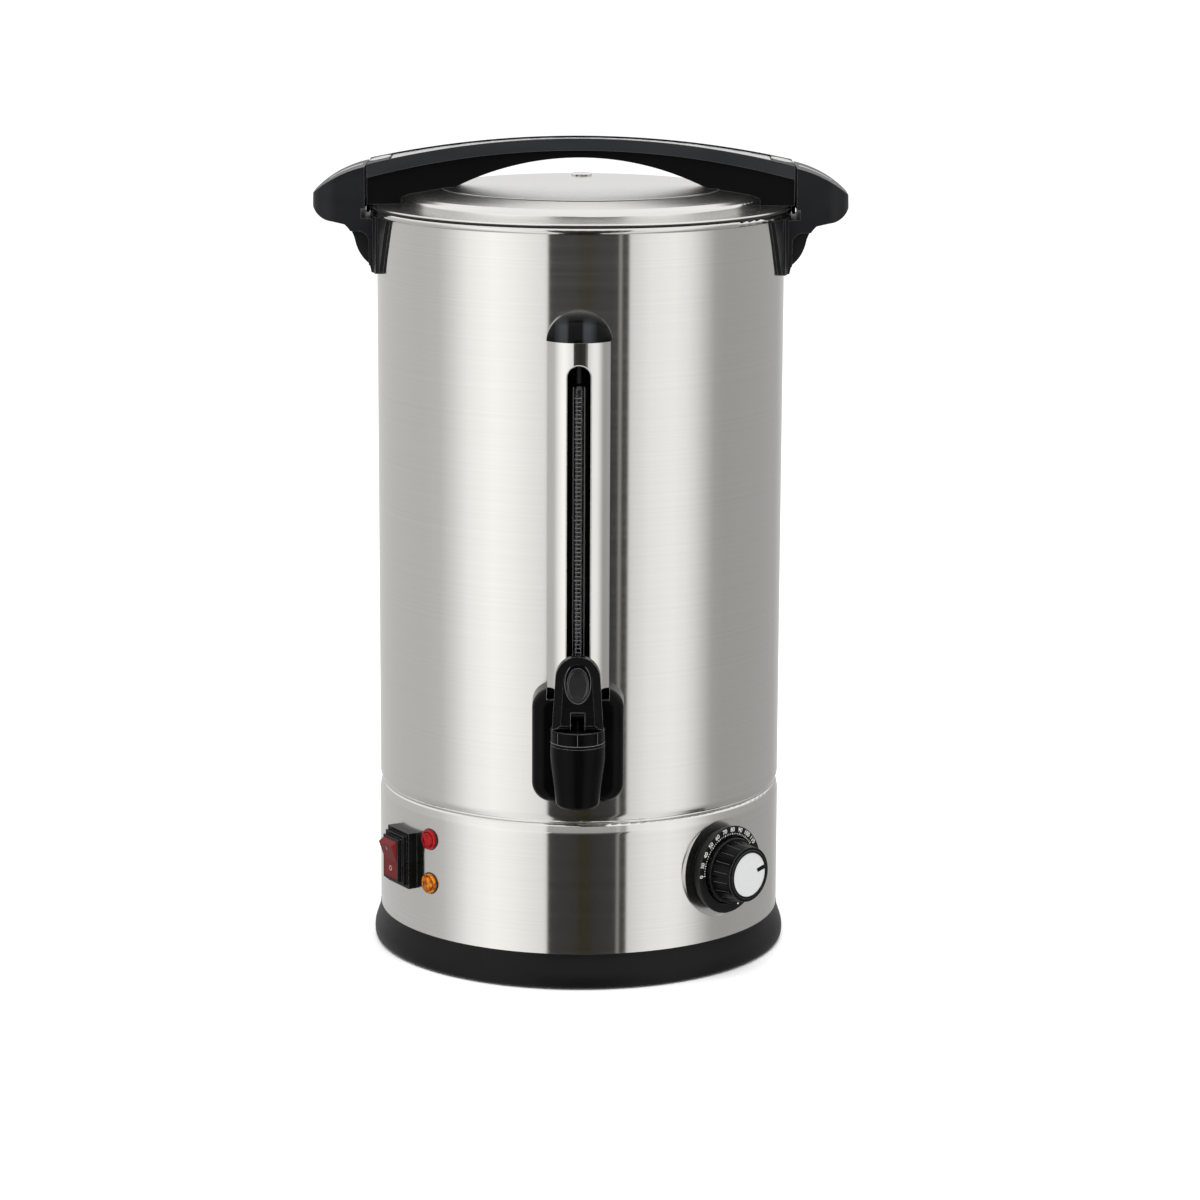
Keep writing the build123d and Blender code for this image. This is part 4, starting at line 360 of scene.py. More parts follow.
# how far in from a sharp edge the painted highlight reaches
EDGE_HIGHLIGHT_REACH = 0.45 * MM
GLOSS_GRAIN = 0.002 * MM  # depth of the grain on polished plastic
GLOSSY = {"grain_depth": GLOSS_GRAIN}

# The black finishes given an edge colour carry a highlight painted along their sharp edges.
FINISHES = {
    "tank_steel": brushed_steel("tank_steel", lines=(4, 4, 2600)),
    "skirt_steel": brushed_steel("skirt_steel", lines=(4, 4, 2200)),
    "lid_steel": spun_steel(
        "lid_steel", Vector(), UP, rings=900, roughness=0.22, depth=0.00005 * MM
    ),
    "gauge_steel": polished_steel("gauge_steel"),
    "sheet_steel": plated("sheet_steel", (0.52, 0.52, 0.50), 0.38),
    "fastener_steel": plated("fastener_steel", (0.58, 0.57, 0.54), 0.28),
    "base_black": moulded("base_black", BLACK, 0.40, shine=0.12),
    # the lid's arch: its set-back face painted in shade, its edges with a painted highlight
    "handle_charcoal": moulded(
        "handle_charcoal", CHARCOAL, 0.40, shine=0.08, set_back_shade=DEEP_BLACK, edge_highlight=EDGE_HIGHLIGHT_SOFT
    ),
    "handle_black": moulded("handle_black", SOFT_BLACK, 0.34, shine=0.12, edge_highlight=EDGE_HIGHLIGHT_SOFT),
    "tap_black": moulded("tap_black", JET, 0.22, shine=0.05, edge_highlight=EDGE_HIGHLIGHT_BRIGHT, **GLOSSY),
    "gauge_black": moulded("gauge_black", JET, 0.16, shine=0.08, edge_highlight=EDGE_HIGHLIGHT_BRIGHT, **GLOSSY),
    "cap_black_painted_sheen": painted_sheen_cap("cap_black_painted_sheen"),
    "backing_black": moulded("backing_black", DEEP_BLACK, 0.45, shine=0.05),
    "dial_black": moulded(
        "dial_black", BLACK, 0.35, shine=0.10, grain_size=0.3 * MM, edge_highlight=EDGE_HIGHLIGHT_SOFT
    ),
    "knob_black": moulded("knob_black", DEEP_BLACK, 0.28, shine=0.10, edge_highlight=EDGE_HIGHLIGHT_SOFT, **GLOSSY),
    "knob_silver": spun_steel(
        "knob_silver",
        KNOB_CENTRE,
        KNOB_AXIS,
        rings=2600,
        roughness=0.40,
        depth=0.001 * MM,
        colour=(0.66, 0.67, 0.665),
        metallic=0.35,
    ),
    "switch_black": moulded(
        "switch_black", DEEP_BLACK, 0.28, shine=0.10, edge_highlight=EDGE_HIGHLIGHT_SOFT, **GLOSSY
    ),
    "rocker_red": translucent(
        "rocker_red", (0.17, 0.017, 0.017), (0.05, 0.004, 0.004), 0.1, 0.04, roughness=0.30
    ),
    "lens_red": translucent("lens_red", (0.42, 0.003, 0.009), (0.05, 0.0004, 0.0008), 0.5, 0.14),
    "lens_amber": translucent("lens_amber", (0.70, 0.21, 0.007), (0.10, 0.018, 0.0008), 0.8, 0.14),
    "gauge_glass": clear_glass("gauge_glass"),
    "rubber_black": moulded("rubber_black", (0.012, 0.012, 0.012), 0.75, grain_size=0.8 * MM),
    "seal_white": moulded("seal_white", (0.72, 0.72, 0.68), 0.50, shine=0.5),
    "heater_alu": plated("heater_alu", (0.70, 0.70, 0.69), 0.42),
    "element_steel": plated("element_steel", (0.42, 0.40, 0.37), 0.35, mottle=0.3),
    "bakelite": moulded("bakelite", (0.055, 0.030, 0.018), 0.38, shine=0.5),
    "brass": plated("brass", (0.78, 0.56, 0.26), 0.26),
    "blackened_steel": plated("blackened_steel", (0.035, 0.035, 0.035), 0.30),
    "badge_grey": moulded(
        "badge_grey", BADGE_GREY, 0.34, shine=0.12, grain_depth=0.03 * MM, edge_highlight=EDGE_HIGHLIGHT_BRIGHT
    ),
    # A grey for thin wires: real seams and the line in the lid's crease, and painted highlights on the knob's
    # flutes and the spout.
    "seam_and_painted_highlight_grey": moulded("seam_and_painted_highlight_grey", (0.085, 0.085, 0.086), 0.30, shine=0.3, **GLOSSY),
    "ink_white": printed("ink_white", (0.82, 0.82, 0.80)),
    "ink_soft": printed("ink_soft", (0.42, 0.40, 0.40)),
    "ink_grey": printed("ink_grey", (0.10, 0.10, 0.10)),
    "inlay_silver": plated("inlay_silver", (0.64, 0.64, 0.63), 0.24, mottle=0.06),
}

for part in frame["record"]["subparts"]:
    NODES[part["node"]].data.materials.clear()
    NODES[part["node"]].data.materials.append(FINISHES[part["material_slot"]])
for node, finish in (
    ("gauge_backing", "backing_black"),
    # the gauge cap takes the finish with the painted sheen
    ("gauge_cap", "cap_black_painted_sheen"),
    ("side_handle_left", "handle_black"),
    ("side_handle_right", "handle_black"),
    ("lever_pin", "blackened_steel"),
    ("tap_stem", "blackened_steel"),
):
    NODES[node].data.materials[0] = FINISHES[finish]

# ---------------------------------------------------------------- building blocks

INK_THICKNESS = 0.02 * MM
SHARP_FROM = math.radians(32)
BEVEL_STEPS = 3
WIRE_STEPS = 4
TURNED_STEPS = 96
ROUND_STEPS = 128  # for the widest turned pieces


def attach(piece, body, finish):
    """Gives a new piece its finish and its body."""
    piece.data.materials.append(FINISHES[finish])
    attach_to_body(piece, body)
    return piece


def mesh_piece(name, points, faces):
    mesh = bpy.data.meshes.new(name)
    mesh.from_pydata([tuple(point) for point in points], [], faces)
    mesh.validate()
    piece = bpy.data.objects.new(name, mesh)
    bpy.context.scene.collection.objects.link(piece)
    return piece


def bar(points, faces, place, width, height, thickness):
    """Adds a small printed bar, centred on the origin of its place."""
    first = len(points)
    for x, y in ((-1, -1), (1, -1), (1, 1), (-1, 1)):
        points.append(place @ Vector((x * width / 2, y * height / 2, 0)))
    for x, y in ((-1, -1), (1, -1), (1, 1), (-1, 1)):
        points.append(place @ Vector((x * width / 2, y * height / 2, thickness)))
    low = [first + k for k in range(4)]
    high = [first + 4 + k for k in range(4)]
    faces.append(high)
    for k in range(4):
        faces.append([low[k], low[(k + 1) % 4], high[(k + 1) % 4], high[k]])


def text_piece(name, words, size, place):
    """Printed characters, centred on their place."""
    curve = bpy.data.curves.new(name, "FONT")
    curve.body = words
    curve.size = size
    curve.align_x = "CENTER"
    curve.align_y = "CENTER"
    curve.extrude = INK_THICKNESS
    piece = bpy.data.objects.new(name, curve)
    piece.matrix_world = place
    bpy.context.scene.collection.objects.link(piece)
    return piece


def wire_piece(name, points, thickness, cyclic=True):
    """A round wire along a line of points."""
    curve = bpy.data.curves.new(name, "CURVE")
    curve.dimensions = "3D"
    curve.bevel_depth = thickness / 2
    curve.bevel_resolution = WIRE_STEPS
    spline = curve.splines.new("POLY")
    spline.points.add(len(points) - 1)
    for target, point in zip(spline.points, points):
        target.co = (*point, 1)
    spline.use_cyclic_u = cyclic
    piece = bpy.data.objects.new(name, curve)
    bpy.context.scene.collection.objects.link(piece)
    return piece


def lathe(name, profile, place, stretch=(MM, MM), closed=False, steps=TURNED_STEPS):
    """A turned piece: rows of radius, times the stretch, and height in mm, from the foot up."""
    points = []
    for radius, height in profile:
        for step in range(steps):
            turn = 2 * math.pi * step / steps
            x, y = stretch[0] * radius * math.cos(turn), stretch[1] * radius * math.sin(turn)
            points.append(place @ Vector((x, y, height * MM)))
    rows = len(profile)
    faces = []
    for row in range(rows if closed else rows - 1):
        low, high = row * steps, (row + 1) % rows * steps
        for k in range(steps):
            after = (k + 1) % steps
            faces.append([low + k, low + after, high + after, high + k])
    if not closed:
        faces += [list(range(steps)), list(range((rows - 1) * steps, rows * steps))]
    piece = mesh_piece(name, points, faces)
    tidy(piece)
    return piece


def block(name, low, high, bevel):
    """A small block with rounded edges."""
    form = bmesh.new()
    bmesh.ops.create_cube(form, size=1)
    size, middle = high - low, (high + low) / 2
    for vertex in form.verts:
        vertex.co = middle + Vector(part * span for part, span in zip(vertex.co, size))
    round_edges = {"segments": BEVEL_STEPS, "profile": 0.5, "affect": "EDGES"}
    bmesh.ops.bevel(form, geom=form.edges[:], offset=bevel, **round_edges)
    piece = mesh_piece(name, [], [])
    form.to_mesh(piece.data)
    form.free()
    tidy(piece)
    return piece


def tidy(piece):
    """Faces turned outwards, smooth but for the sharp edges."""
    form = bmesh.new()
    form.from_mesh(piece.data)
    bmesh.ops.recalc_face_normals(form, faces=form.faces)
    form.to_mesh(piece.data)
    form.free()
    piece.data.shade_smooth()
    piece.data.set_sharp_from_angle(angle=SHARP_FROM)


# ---------------------------------------------------------------- dial

DIAL_PROFILE = (  # radius and height over the knob's foot, in mm
    (4.9, -2.0), (25.8, -2.0), (28.2, 2.2), (29.3, 6.2), (29.1, 6.8), (28.6, 7.0),
    (23.3, 7.0), (22.9, 6.6), (22.9, -0.8), (4.9, -0.8),
)
KNOB_COLLAR_PROFILE = (
    (18.6, 7.4), (21.4, 7.4), (21.7, 7.7), (21.7, 9.3), (21.3, 9.8), (19.6, 10.1), (18.6, 10.1),
)
KNOB_RIM_PROFILE = (
    (14.6, 24.2), (14.6, 24.75), (14.9, 24.95), (16.1, 24.95), (16.5, 24.6), (16.5, 24.2),
)
DIAL_FACE = 7.0 * MM
DIAL_TICK_RADIUS = 24.1 * MM
DIAL_NUMBER_RADIUS = 26.8 * MM
DIAL_START = -90.0  # degrees clockwise from straight up
DIAL_END = 52.0
DIAL_NUMBERS = ("0", "30", "40", "50", "60", "70", "80", "90", "100", "110")
DIAL_NUMBER_SIZE = 4.1 * MM
DIAL_TICKS_BETWEEN = 4
DIAL_MAJOR = (0.45 * MM, 1.3 * MM)  # width and length of a tick
DIAL_MINOR = (0.35 * MM, 0.8 * MM)
DIAL_DOT = (162.0, 26.0 * MM, 1.1 * MM)  # the low mark's place clockwise, radius and size
# Grey wires along the knob's flutes, standing as painted highlights on their edges.
KNOB_LINES = 18
KNOB_LINE_HEIGHTS = [height * MM for height in (10.8, 14.5, 18.2, 21.8)]
KNOB_LINE_THICKNESS = 0.24 * MM
KNOB_CLEAR = 24.0 * MM  # rays at the knob's flutes start this far from its axis
POINTER_CLOCKWISE = 78.0
POINTER_SPAN = (7.8 * MM, 14.7 * MM)
POINTER_WIDTH = 2.8 * MM
POINTER_FACE = 24.66 * MM


def round_knob(clockwise, radius, height):
    """A frame facing along the knob's axis, its Y pointing away from the axis."""
    side = UP.cross(KNOB_AXIS).normalized()
    turn = math.radians(clockwise)
    outward = side * math.sin(turn) + UP * math.cos(turn)
    return placed(KNOB_CENTRE + outward * radius + KNOB_AXIS * height, KNOB_AXIS, outward)


def dial():
    """The thick dial under the knob, and the knob's collar, rim and pointer, with grey lines on its flutes that
    are painted highlights.
    """
    stand = placed(KNOB_CENTRE, KNOB_AXIS)
    bezel = lathe("dial_bezel", DIAL_PROFILE, stand, closed=True, steps=ROUND_STEPS)
    attach(bezel, "urn", "dial_black")
    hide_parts("dial_plate")
    for name, profile in (("knob_collar", KNOB_COLLAR_PROFILE), ("knob_rim", KNOB_RIM_PROFILE)):
        ring = lathe(name, profile, stand, closed=True, steps=ROUND_STEPS)
        attach(ring, "knob", "knob_black")
    # painted highlights: grey wires laid along the flutes
    for number in range(KNOB_LINES):
        line = []
        for height in KNOB_LINE_HEIGHTS:
            place = round_knob(360 * number / KNOB_LINES, KNOB_CLEAR, height)
            inward = -place.col[1].xyz
            line.append(surface_at("knob", place.translation, inward)[0])
        flute_highlight = wire_piece(f"knob_flute_highlight_{number}", line, KNOB_LINE_THICKNESS, cyclic=False)
        attach(flute_highlight, "knob", "seam_and_painted_highlight_grey")
    points, faces = [], []
    middle = round_knob(POINTER_CLOCKWISE, sum(POINTER_SPAN) / 2, POINTER_FACE)
    bar(points, faces, middle, POINTER_WIDTH, POINTER_SPAN[1] - POINTER_SPAN[0], INK_THICKNESS)
    attach(mesh_piece("knob_pointer", points, faces), "knob", "knob_black")


def dial_scale():
    """Numbers round the knob, with ticks between them."""
    points, faces = [], []
    steps = (len(DIAL_NUMBERS) - 1) * DIAL_TICKS_BETWEEN
    for step in range(steps + 1):
        clockwise = DIAL_START + (DIAL_END - DIAL_START) * step / steps
        major = step % DIAL_TICKS_BETWEEN == 0
        width, length = DIAL_MAJOR if major else DIAL_MINOR
        place = round_knob(clockwise, DIAL_TICK_RADIUS, DIAL_FACE)
        bar(points, faces, place, width, length, INK_THICKNESS)
        if major:
            words = DIAL_NUMBERS[step // DIAL_TICKS_BETWEEN]
            place = round_knob(clockwise, DIAL_NUMBER_RADIUS, DIAL_FACE)
            number = text_piece(f"dial_number_{words}", words, DIAL_NUMBER_SIZE, place)
            attach(number, "urn", "ink_white")
    clockwise, radius, size = DIAL_DOT
    bar(points, faces, round_knob(clockwise, radius, DIAL_FACE), size, size, INK_THICKNESS)
    attach(mesh_piece("dial_ticks", points, faces), "urn", "ink_white")


# ---------------------------------------------------------------- sight gauge

GAUGE_TICK_SPACING = 2.6 * MM
GAUGE_TICKS_TO_MAJOR = 5
GAUGE_TICK_ASIDE = -0.5 * MM
GAUGE_TICK_WIDTHS = (4.6 * MM, 3.4 * MM)  # of the major ticks, and of the others
GAUGE_TICK_THICKNESS = 0.6 * MM
GAUGE_TICK_MARGIN = 6.0 * MM  # bare glass over the tap's housing, and at the top
GAUGE_TICK_LIFT = 0.15 * MM  # how far the scale stands off the glass
GAUGE_EDGE_LINE = 3.5 * MM  # from the tube's middle
GAUGE_EDGE_WIDTH = 0.4 * MM
GAUGE_EDGE_MARGIN = 2.0 * MM
GAUGE_EDGE_LIFT = 0.1 * MM
SLOT_HALF = 7.75 * MM
SLOT_TOP = 414.8 * MM
SLOT_STEPS = 24
SLOT_TRIM = 0.9 * MM
SLOT_RAY_ASIDE = 0.6 * MM  # rays at the cover pass this far outside its slot


def gauge_slot_outline():
    """Points round the slot's edge, as X and height."""
    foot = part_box("tap_housing")[1].z
    crown = SLOT_TOP - SLOT_HALF
    outline = [(-SLOT_HALF, foot), (-SLOT_HALF, crown)]
    for step in range(1, SLOT_STEPS):
        turn = math.pi * step / SLOT_STEPS
        outline.append((-SLOT_HALF * math.cos(turn), crown + SLOT_HALF * math.sin(turn)))
    return outline + [(SLOT_HALF, crown), (SLOT_HALF, foot)]


def gauge_scale():
    """A scale printed on the front of the glass, between two lines."""
    low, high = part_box("gauge_tube")
    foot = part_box("tap_housing")[1].z
    points, faces = [], []
    count = int((high.z - foot - 2 * GAUGE_TICK_MARGIN) / GAUGE_TICK_SPACING)
    for step in range(count):
        level = foot + GAUGE_TICK_MARGIN + step * GAUGE_TICK_SPACING
        place = placed(Vector((GAUGE_TICK_ASIDE, low.y - GAUGE_TICK_LIFT, level)), FRONT)
        width = GAUGE_TICK_WIDTHS[0 if step % GAUGE_TICKS_TO_MAJOR == 0 else 1]
        bar(points, faces, place, width, GAUGE_TICK_THICKNESS, INK_THICKNESS)
    radius = (high.x - low.x) / 2
    back = radius - math.sqrt(radius**2 - GAUGE_EDGE_LINE**2)
    length = high.z - foot - 2 * GAUGE_EDGE_MARGIN
    for side in (-1, 1):
        depth = low.y + back - GAUGE_EDGE_LIFT
        middle = Vector((side * GAUGE_EDGE_LINE, depth, (foot + high.z) / 2))
        bar(points, faces, placed(middle, FRONT), GAUGE_EDGE_WIDTH, length, INK_THICKNESS)
    attach(mesh_piece("gauge_ticks", points, faces), "urn", "ink_grey")


def gauge_trim():
    """The bright rolled edge of the slot."""
    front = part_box("gauge_cover")[0].y - OUTSIDE
    line = []
    for x, z in gauge_slot_outline():
        start = Vector((x + math.copysign(SLOT_RAY_ASIDE, x), front, z))
        point, _ = surface_at("gauge_cover", start, -FRONT)
        line.append(Vector((x, point.y, z)))
    trim = wire_piece("gauge_slot_trim", line, SLOT_TRIM, cyclic=False)
    attach(trim, "urn", "inlay_silver")


# ---------------------------------------------------------------- lid, handles and seam

ABOVE = 1.0  # rays down on the lid and the handles start at this height
INLAY_ABOVE = 0.8  # and those down on the inlay's groove at this one
INLAY_HALF_LENGTH = 125.0 * MM
INLAY_STEPS = 60
INLAY_RISE = 0.15 * MM
INLAY_REACH = 26.0 * MM  # the groove's edge is sought this far out, in small steps
INLAY_PROBE = 0.25 * MM
INLAY_GROOVE = 0.3 * MM  # a rise or fall that ends the groove
INLAY_MARGIN = 0.4 * MM
BADGE_PROFILE = (  # radius as a share of the oval's own, and height in mm
    (0.02, -0.3), (1.0, -0.3), (1.0, 0.25), (0.96, 0.45),
    (0.87, 0.45), (0.82, 0.15), (0.40, 0.25), (0.02, 0.3),
)
HANDLE_DISC_REACH = 132.6 * MM
HANDLE_DISC = (7.2 * MM, 9.5 * MM)
SIDE_STRIP = (144.0 * MM, 166.0 * MM)
SIDE_STRIP_HALF = 4.0 * MM
SIDE_STRIP_STEPS = 12
# Black lugs at the arch's ends, which also fill the gap to each side handle with dark, as painted shade.
LUG_LOW = Vector((139.55, -12.0, 495.0)) * MM
LUG_HIGH = Vector((141.6, 12.0, 501.8)) * MM
LUG_BEVEL = 0.5 * MM
RING_STEPS = 240
# A dark ring in the gap under the lid's flange: painted shade.
GAP_SHADE_RING_RADIUS = 138.85 * MM
GAP_SHADE_RING_THICKNESS = 1.0 * MM
CREASE_RADIUS = 92.35 * MM
CREASE_SINK = 0.05 * MM
CREASE_THICKNESS = 0.5 * MM
BEAD_RADIUS = 132.9 * MM  # the bead lies in the groove between the tank's foot and the skirt
BEAD_LEVEL = 112.0 * MM
BEAD_THICKNESS = 2.2 * MM


def handle_details():
    """Bare ovals at the arch's ends, strips on the side handles, and black lugs between the two, which also stand
    as painted shade in the gap there.
    """
    for side, word in ((-1, "left"), (1, "right")):
        start = Vector((side * HANDLE_DISC_REACH, 0, ABOVE))
        point, normal = surface_at("lid_handle", start, -UP)
        place = placed(point, normal, up=-FRONT)
        disc = lathe(f"handle_disc_{word}", BADGE_PROFILE, place, HANDLE_DISC)
        attach(disc, "lid", "inlay_silver")
        points, faces = [], []
        for step in range(SIDE_STRIP_STEPS + 1):
            share = step / SIDE_STRIP_STEPS
            x = side * (SIDE_STRIP[0] + (SIDE_STRIP[1] - SIDE_STRIP[0]) * share)
            for y in (-SIDE_STRIP_HALF, SIDE_STRIP_HALF):
                point, _ = surface_at(f"side_handle_{word}", Vector((x, y, ABOVE)), -UP)
                points.append(point + UP * INLAY_RISE)
            if step:
                faces.append([2 * step - 2, 2 * step, 2 * step + 1, 2 * step - 1])
        strip = mesh_piece(f"side_strip_{word}", points, faces)
        tidy(strip)
        attach(strip, "urn", "inlay_silver")
        corners = [Vector((side * end.x, end.y, end.z)) for end in (LUG_LOW, LUG_HIGH)]
        low = Vector(min(parts) for parts in zip(*corners))
        high = Vector(max(parts) for parts in zip(*corners))
        attach(block(f"lid_lug_{word}", low, high, LUG_BEVEL), "lid", "handle_charcoal")


def ring_line(name, radius, level, thickness, body, finish):
    """A wire ring round the urn's axis."""
    ring = []
    for step in range(RING_STEPS):
        turn = 2 * math.pi * step / RING_STEPS
        ring.append(Vector((radius * math.cos(turn), radius * math.sin(turn), level)))
    attach(wire_piece(name, ring, thickness), body, finish)


def lid_lines():
    """A dark ring in the gap under the lid's flange, put there as painted shade, and a grey line in the crease
    round its plateau.
    """
    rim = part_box("tank")[1].z
    # the dark ring stands as painted shade in the gap
    ring_line("lid_gap_shade_ring", GAP_SHADE_RING_RADIUS, rim, GAP_SHADE_RING_THICKNESS, "lid", "rubber_black")
    point, _ = surface_at("lid_pan", Vector((0, -CREASE_RADIUS, ABOVE)), -UP)
    level = point.z - CREASE_SINK
    ring_line("lid_crease", CREASE_RADIUS, level, CREASE_THICKNESS, "lid", "seam_and_painted_highlight_grey")


def seam_bead():
    """The bright rolled bead between the tank's foot and the skirt."""
    ring_line("seam_bead", BEAD_RADIUS, BEAD_LEVEL, BEAD_THICKNESS, "urn", "gauge_steel")


def inlay():
    """A bright strip let into the groove along the top of the lid's handle."""
    points, faces = [], []
    for step in range(INLAY_STEPS + 1):
        x = INLAY_HALF_LENGTH * (2 * step / INLAY_STEPS - 1)
        level = surface_at("lid_handle", Vector((x, 0, INLAY_ABOVE)), -UP)[0].z
        half = reach = 0.0
        while reach < INLAY_REACH:
            probe, _ = surface_at("lid_handle", Vector((x, reach, INLAY_ABOVE)), -UP)
            if abs(probe.z - level) > INLAY_GROOVE:
                break
            half = reach
            reach += INLAY_PROBE
        half -= INLAY_MARGIN
        points += [Vector((x, y, level + INLAY_RISE)) for y in (-half, half)]
        if step:
            faces.append([2 * step - 2, 2 * step, 2 * step + 1, 2 * step - 1])
    attach(mesh_piece("handle_inlay", points, faces), "lid", "inlay_silver")


# ---------------------------------------------------------------- tap

SPOUT_AXIS = Vector((0, -0.178, 0))
SPOUT_SEAM = 177.4 * MM
SPOUT_TOP = 185.0 * MM
SPOUT_SEAM_AZIMUTHS = range(-84, 85, 4)  # in degrees
SPOUT_SEAM_THICKNESS = 0.45 * MM
SPOUT_LINES = (-47, 0, 47)  # azimuths of the upright grey lines over the seam, which are painted highlights between the facets
SPOUT_LINE_STEPS = 4
SPOUT_LINE_THICKNESS = 0.3 * MM
SPOUT_CLEAR = 0.1  # rays at the collar start this far from its axis
LEVER_BADGE_LEVEL = 215.5 * MM
LEVER_BADGE_SIZE = (7.0 * MM, 11.2 * MM)


def on_spout(azimuth, level):
    """A point on the skin of the spout's collar."""
    turn = math.radians(azimuth)
    outward = Vector((math.sin(turn), -math.cos(turn), 0))
    start = SPOUT_AXIS + UP * level + outward * SPOUT_CLEAR
    point, _ = surface_at("tap_bonnet", start, -outward)
    return point


def tap_details():
    """The bonnet's seam, its wire light grey as a painted highlight along it, the grey lines over it, which are
    painted highlights between its facets, and the bare oval in the lever.
    """
    # the seam is real; the wire's light grey is a painted highlight on it
    points = [on_spout(azimuth, SPOUT_SEAM) for azimuth in SPOUT_SEAM_AZIMUTHS]
    seam = wire_piece("spout_seam", points, SPOUT_SEAM_THICKNESS, cyclic=False)
    attach(seam, "urn", "seam_and_painted_highlight_grey")
    rise = (SPOUT_TOP - SPOUT_SEAM) / SPOUT_LINE_STEPS
    # painted highlights between the spout's facets
    for number, azimuth in enumerate(SPOUT_LINES):
        levels = [SPOUT_SEAM + rise * step for step in range(SPOUT_LINE_STEPS + 1)]
        points = [on_spout(azimuth, level) for level in levels]
        line = wire_piece(f"spout_highlight_{number}", points, SPOUT_LINE_THICKNESS, cyclic=False)
        attach(line, "urn", "seam_and_painted_highlight_grey")
    start = Vector((0, -OUTSIDE, LEVER_BADGE_LEVEL))
    point, normal = surface_at("tap_lever", start, -FRONT)
    badge = lathe("lever_badge", BADGE_PROFILE, placed(point, normal), LEVER_BADGE_SIZE)
    attach(badge, "tap_lever", "badge_grey")


# ---------------------------------------------------------------- pilot lamps

LAMP_PROFILE = (  # radius and height over the skirt, in mm
    (4.9, -8.8), (4.9, -0.2), (6.8, 0.0), (6.85, 1.3), (6.6, 1.9), (5.7, 2.3),
    (5.2, 2.0), (4.9, 1.8), (4.6, 2.5), (3.6, 3.0), (1.6, 3.3), (0.1, 3.35),
)
LAMP_RING_PROFILE = ((6.9, -0.3), (7.35, -0.3), (7.35, 0.25), (7.2, 0.45), (6.9, 0.5))
LAMP_LEFT = 0.9 * MM  # how far the lamps stand to the left of the solids' own centres
LAMP_CLEAR = 8.4 * MM  # the skirt is probed this far over a lamp, beside its hole
LAMP_STEPS = 64


def lamps():
    """Low domed lenses in black rings."""
    for node in ("lamp_red", "lamp_amber"):
        low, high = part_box(node)
        level = (low.z + high.z) / 2
        out = Vector(((low.x + high.x) / 2, (low.y + high.y) / 2, 0)).normalized()
        aside = UP.cross(out)
        point, _ = surface_at("skirt", out * OUTSIDE + UP * (level + LAMP_CLEAR), -out)
        foot = Vector((point.x, point.y, level)) - aside * LAMP_LEFT
        stand = placed(foot, out)
        lens = lathe(f"{node}_lens", LAMP_PROFILE, stand, steps=LAMP_STEPS)
        attach(lens, "urn", "lens_red" if node == "lamp_red" else "lens_amber")
        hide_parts(node)
        ring = lathe(f"{node}_ring", LAMP_RING_PROFILE, stand, closed=True, steps=LAMP_STEPS)
        attach(ring, "urn", "switch_black")


# ---------------------------------------------------------------- rocker marks

ROCKER_MARK_SIZE = 4.8 * MM
ROCKER_MARK_RISE = 7.0 * MM  # over and under the rocker's pivot


def rocker_marks():
    """The I and O of a mains switch, printed on the rocker."""
    outward = UP.cross(-ROCKER_AXIS).normalized()
    if outward.dot(Vector((ROCKER_CENTRE.x, ROCKER_CENTRE.y, 0))) < 0:
        outward.negate()
    for name, words, side in (("rocker_mark_on", "I", 1), ("rocker_mark_off", "O", -1)):
        start = ROCKER_CENTRE + UP * side * ROCKER_MARK_RISE + outward * OUTSIDE
        point, normal = surface_at("rocker", start, -outward)
        mark = text_piece(name, words, ROCKER_MARK_SIZE, placed(point, normal))
        attach(mark, "rocker", "ink_soft")


dial()
dial_scale()
gauge_scale()
gauge_trim()
inlay()
handle_details()
lid_lines()
seam_bead()
tap_details()
lamps()
rocker_marks()

# ---------------------------------------------------------------- floor, light and camera

FLOOR_SIZE = 80.0
FLOOR_WHITE = (0.90, 0.90, 0.90)
FLOOR_WHITER = (0.92, 0.92, 0.92)


def floor():
    """A wide pale floor. Polished parts mirror the studio's walls in its place."""
    half = FLOOR_SIZE / 2
    corners = [(-half, -half, 0), (half, -half, 0), (half, half, 0), (-half, half, 0)]
    ground = mesh_piece("floor", corners, [[0, 1, 2, 3]])
    paper = Finish("floor_white", FLOOR_WHITE, 0.8)
    cloud = paper.between(paper.noise(paper.place, scale=3), 0, 1)
    paper.drive("Base Color", paper.mixed(cloud, FLOOR_WHITE, FLOOR_WHITER))
    ground.data.materials.append(paper.material)
    ground.visible_glossy = False


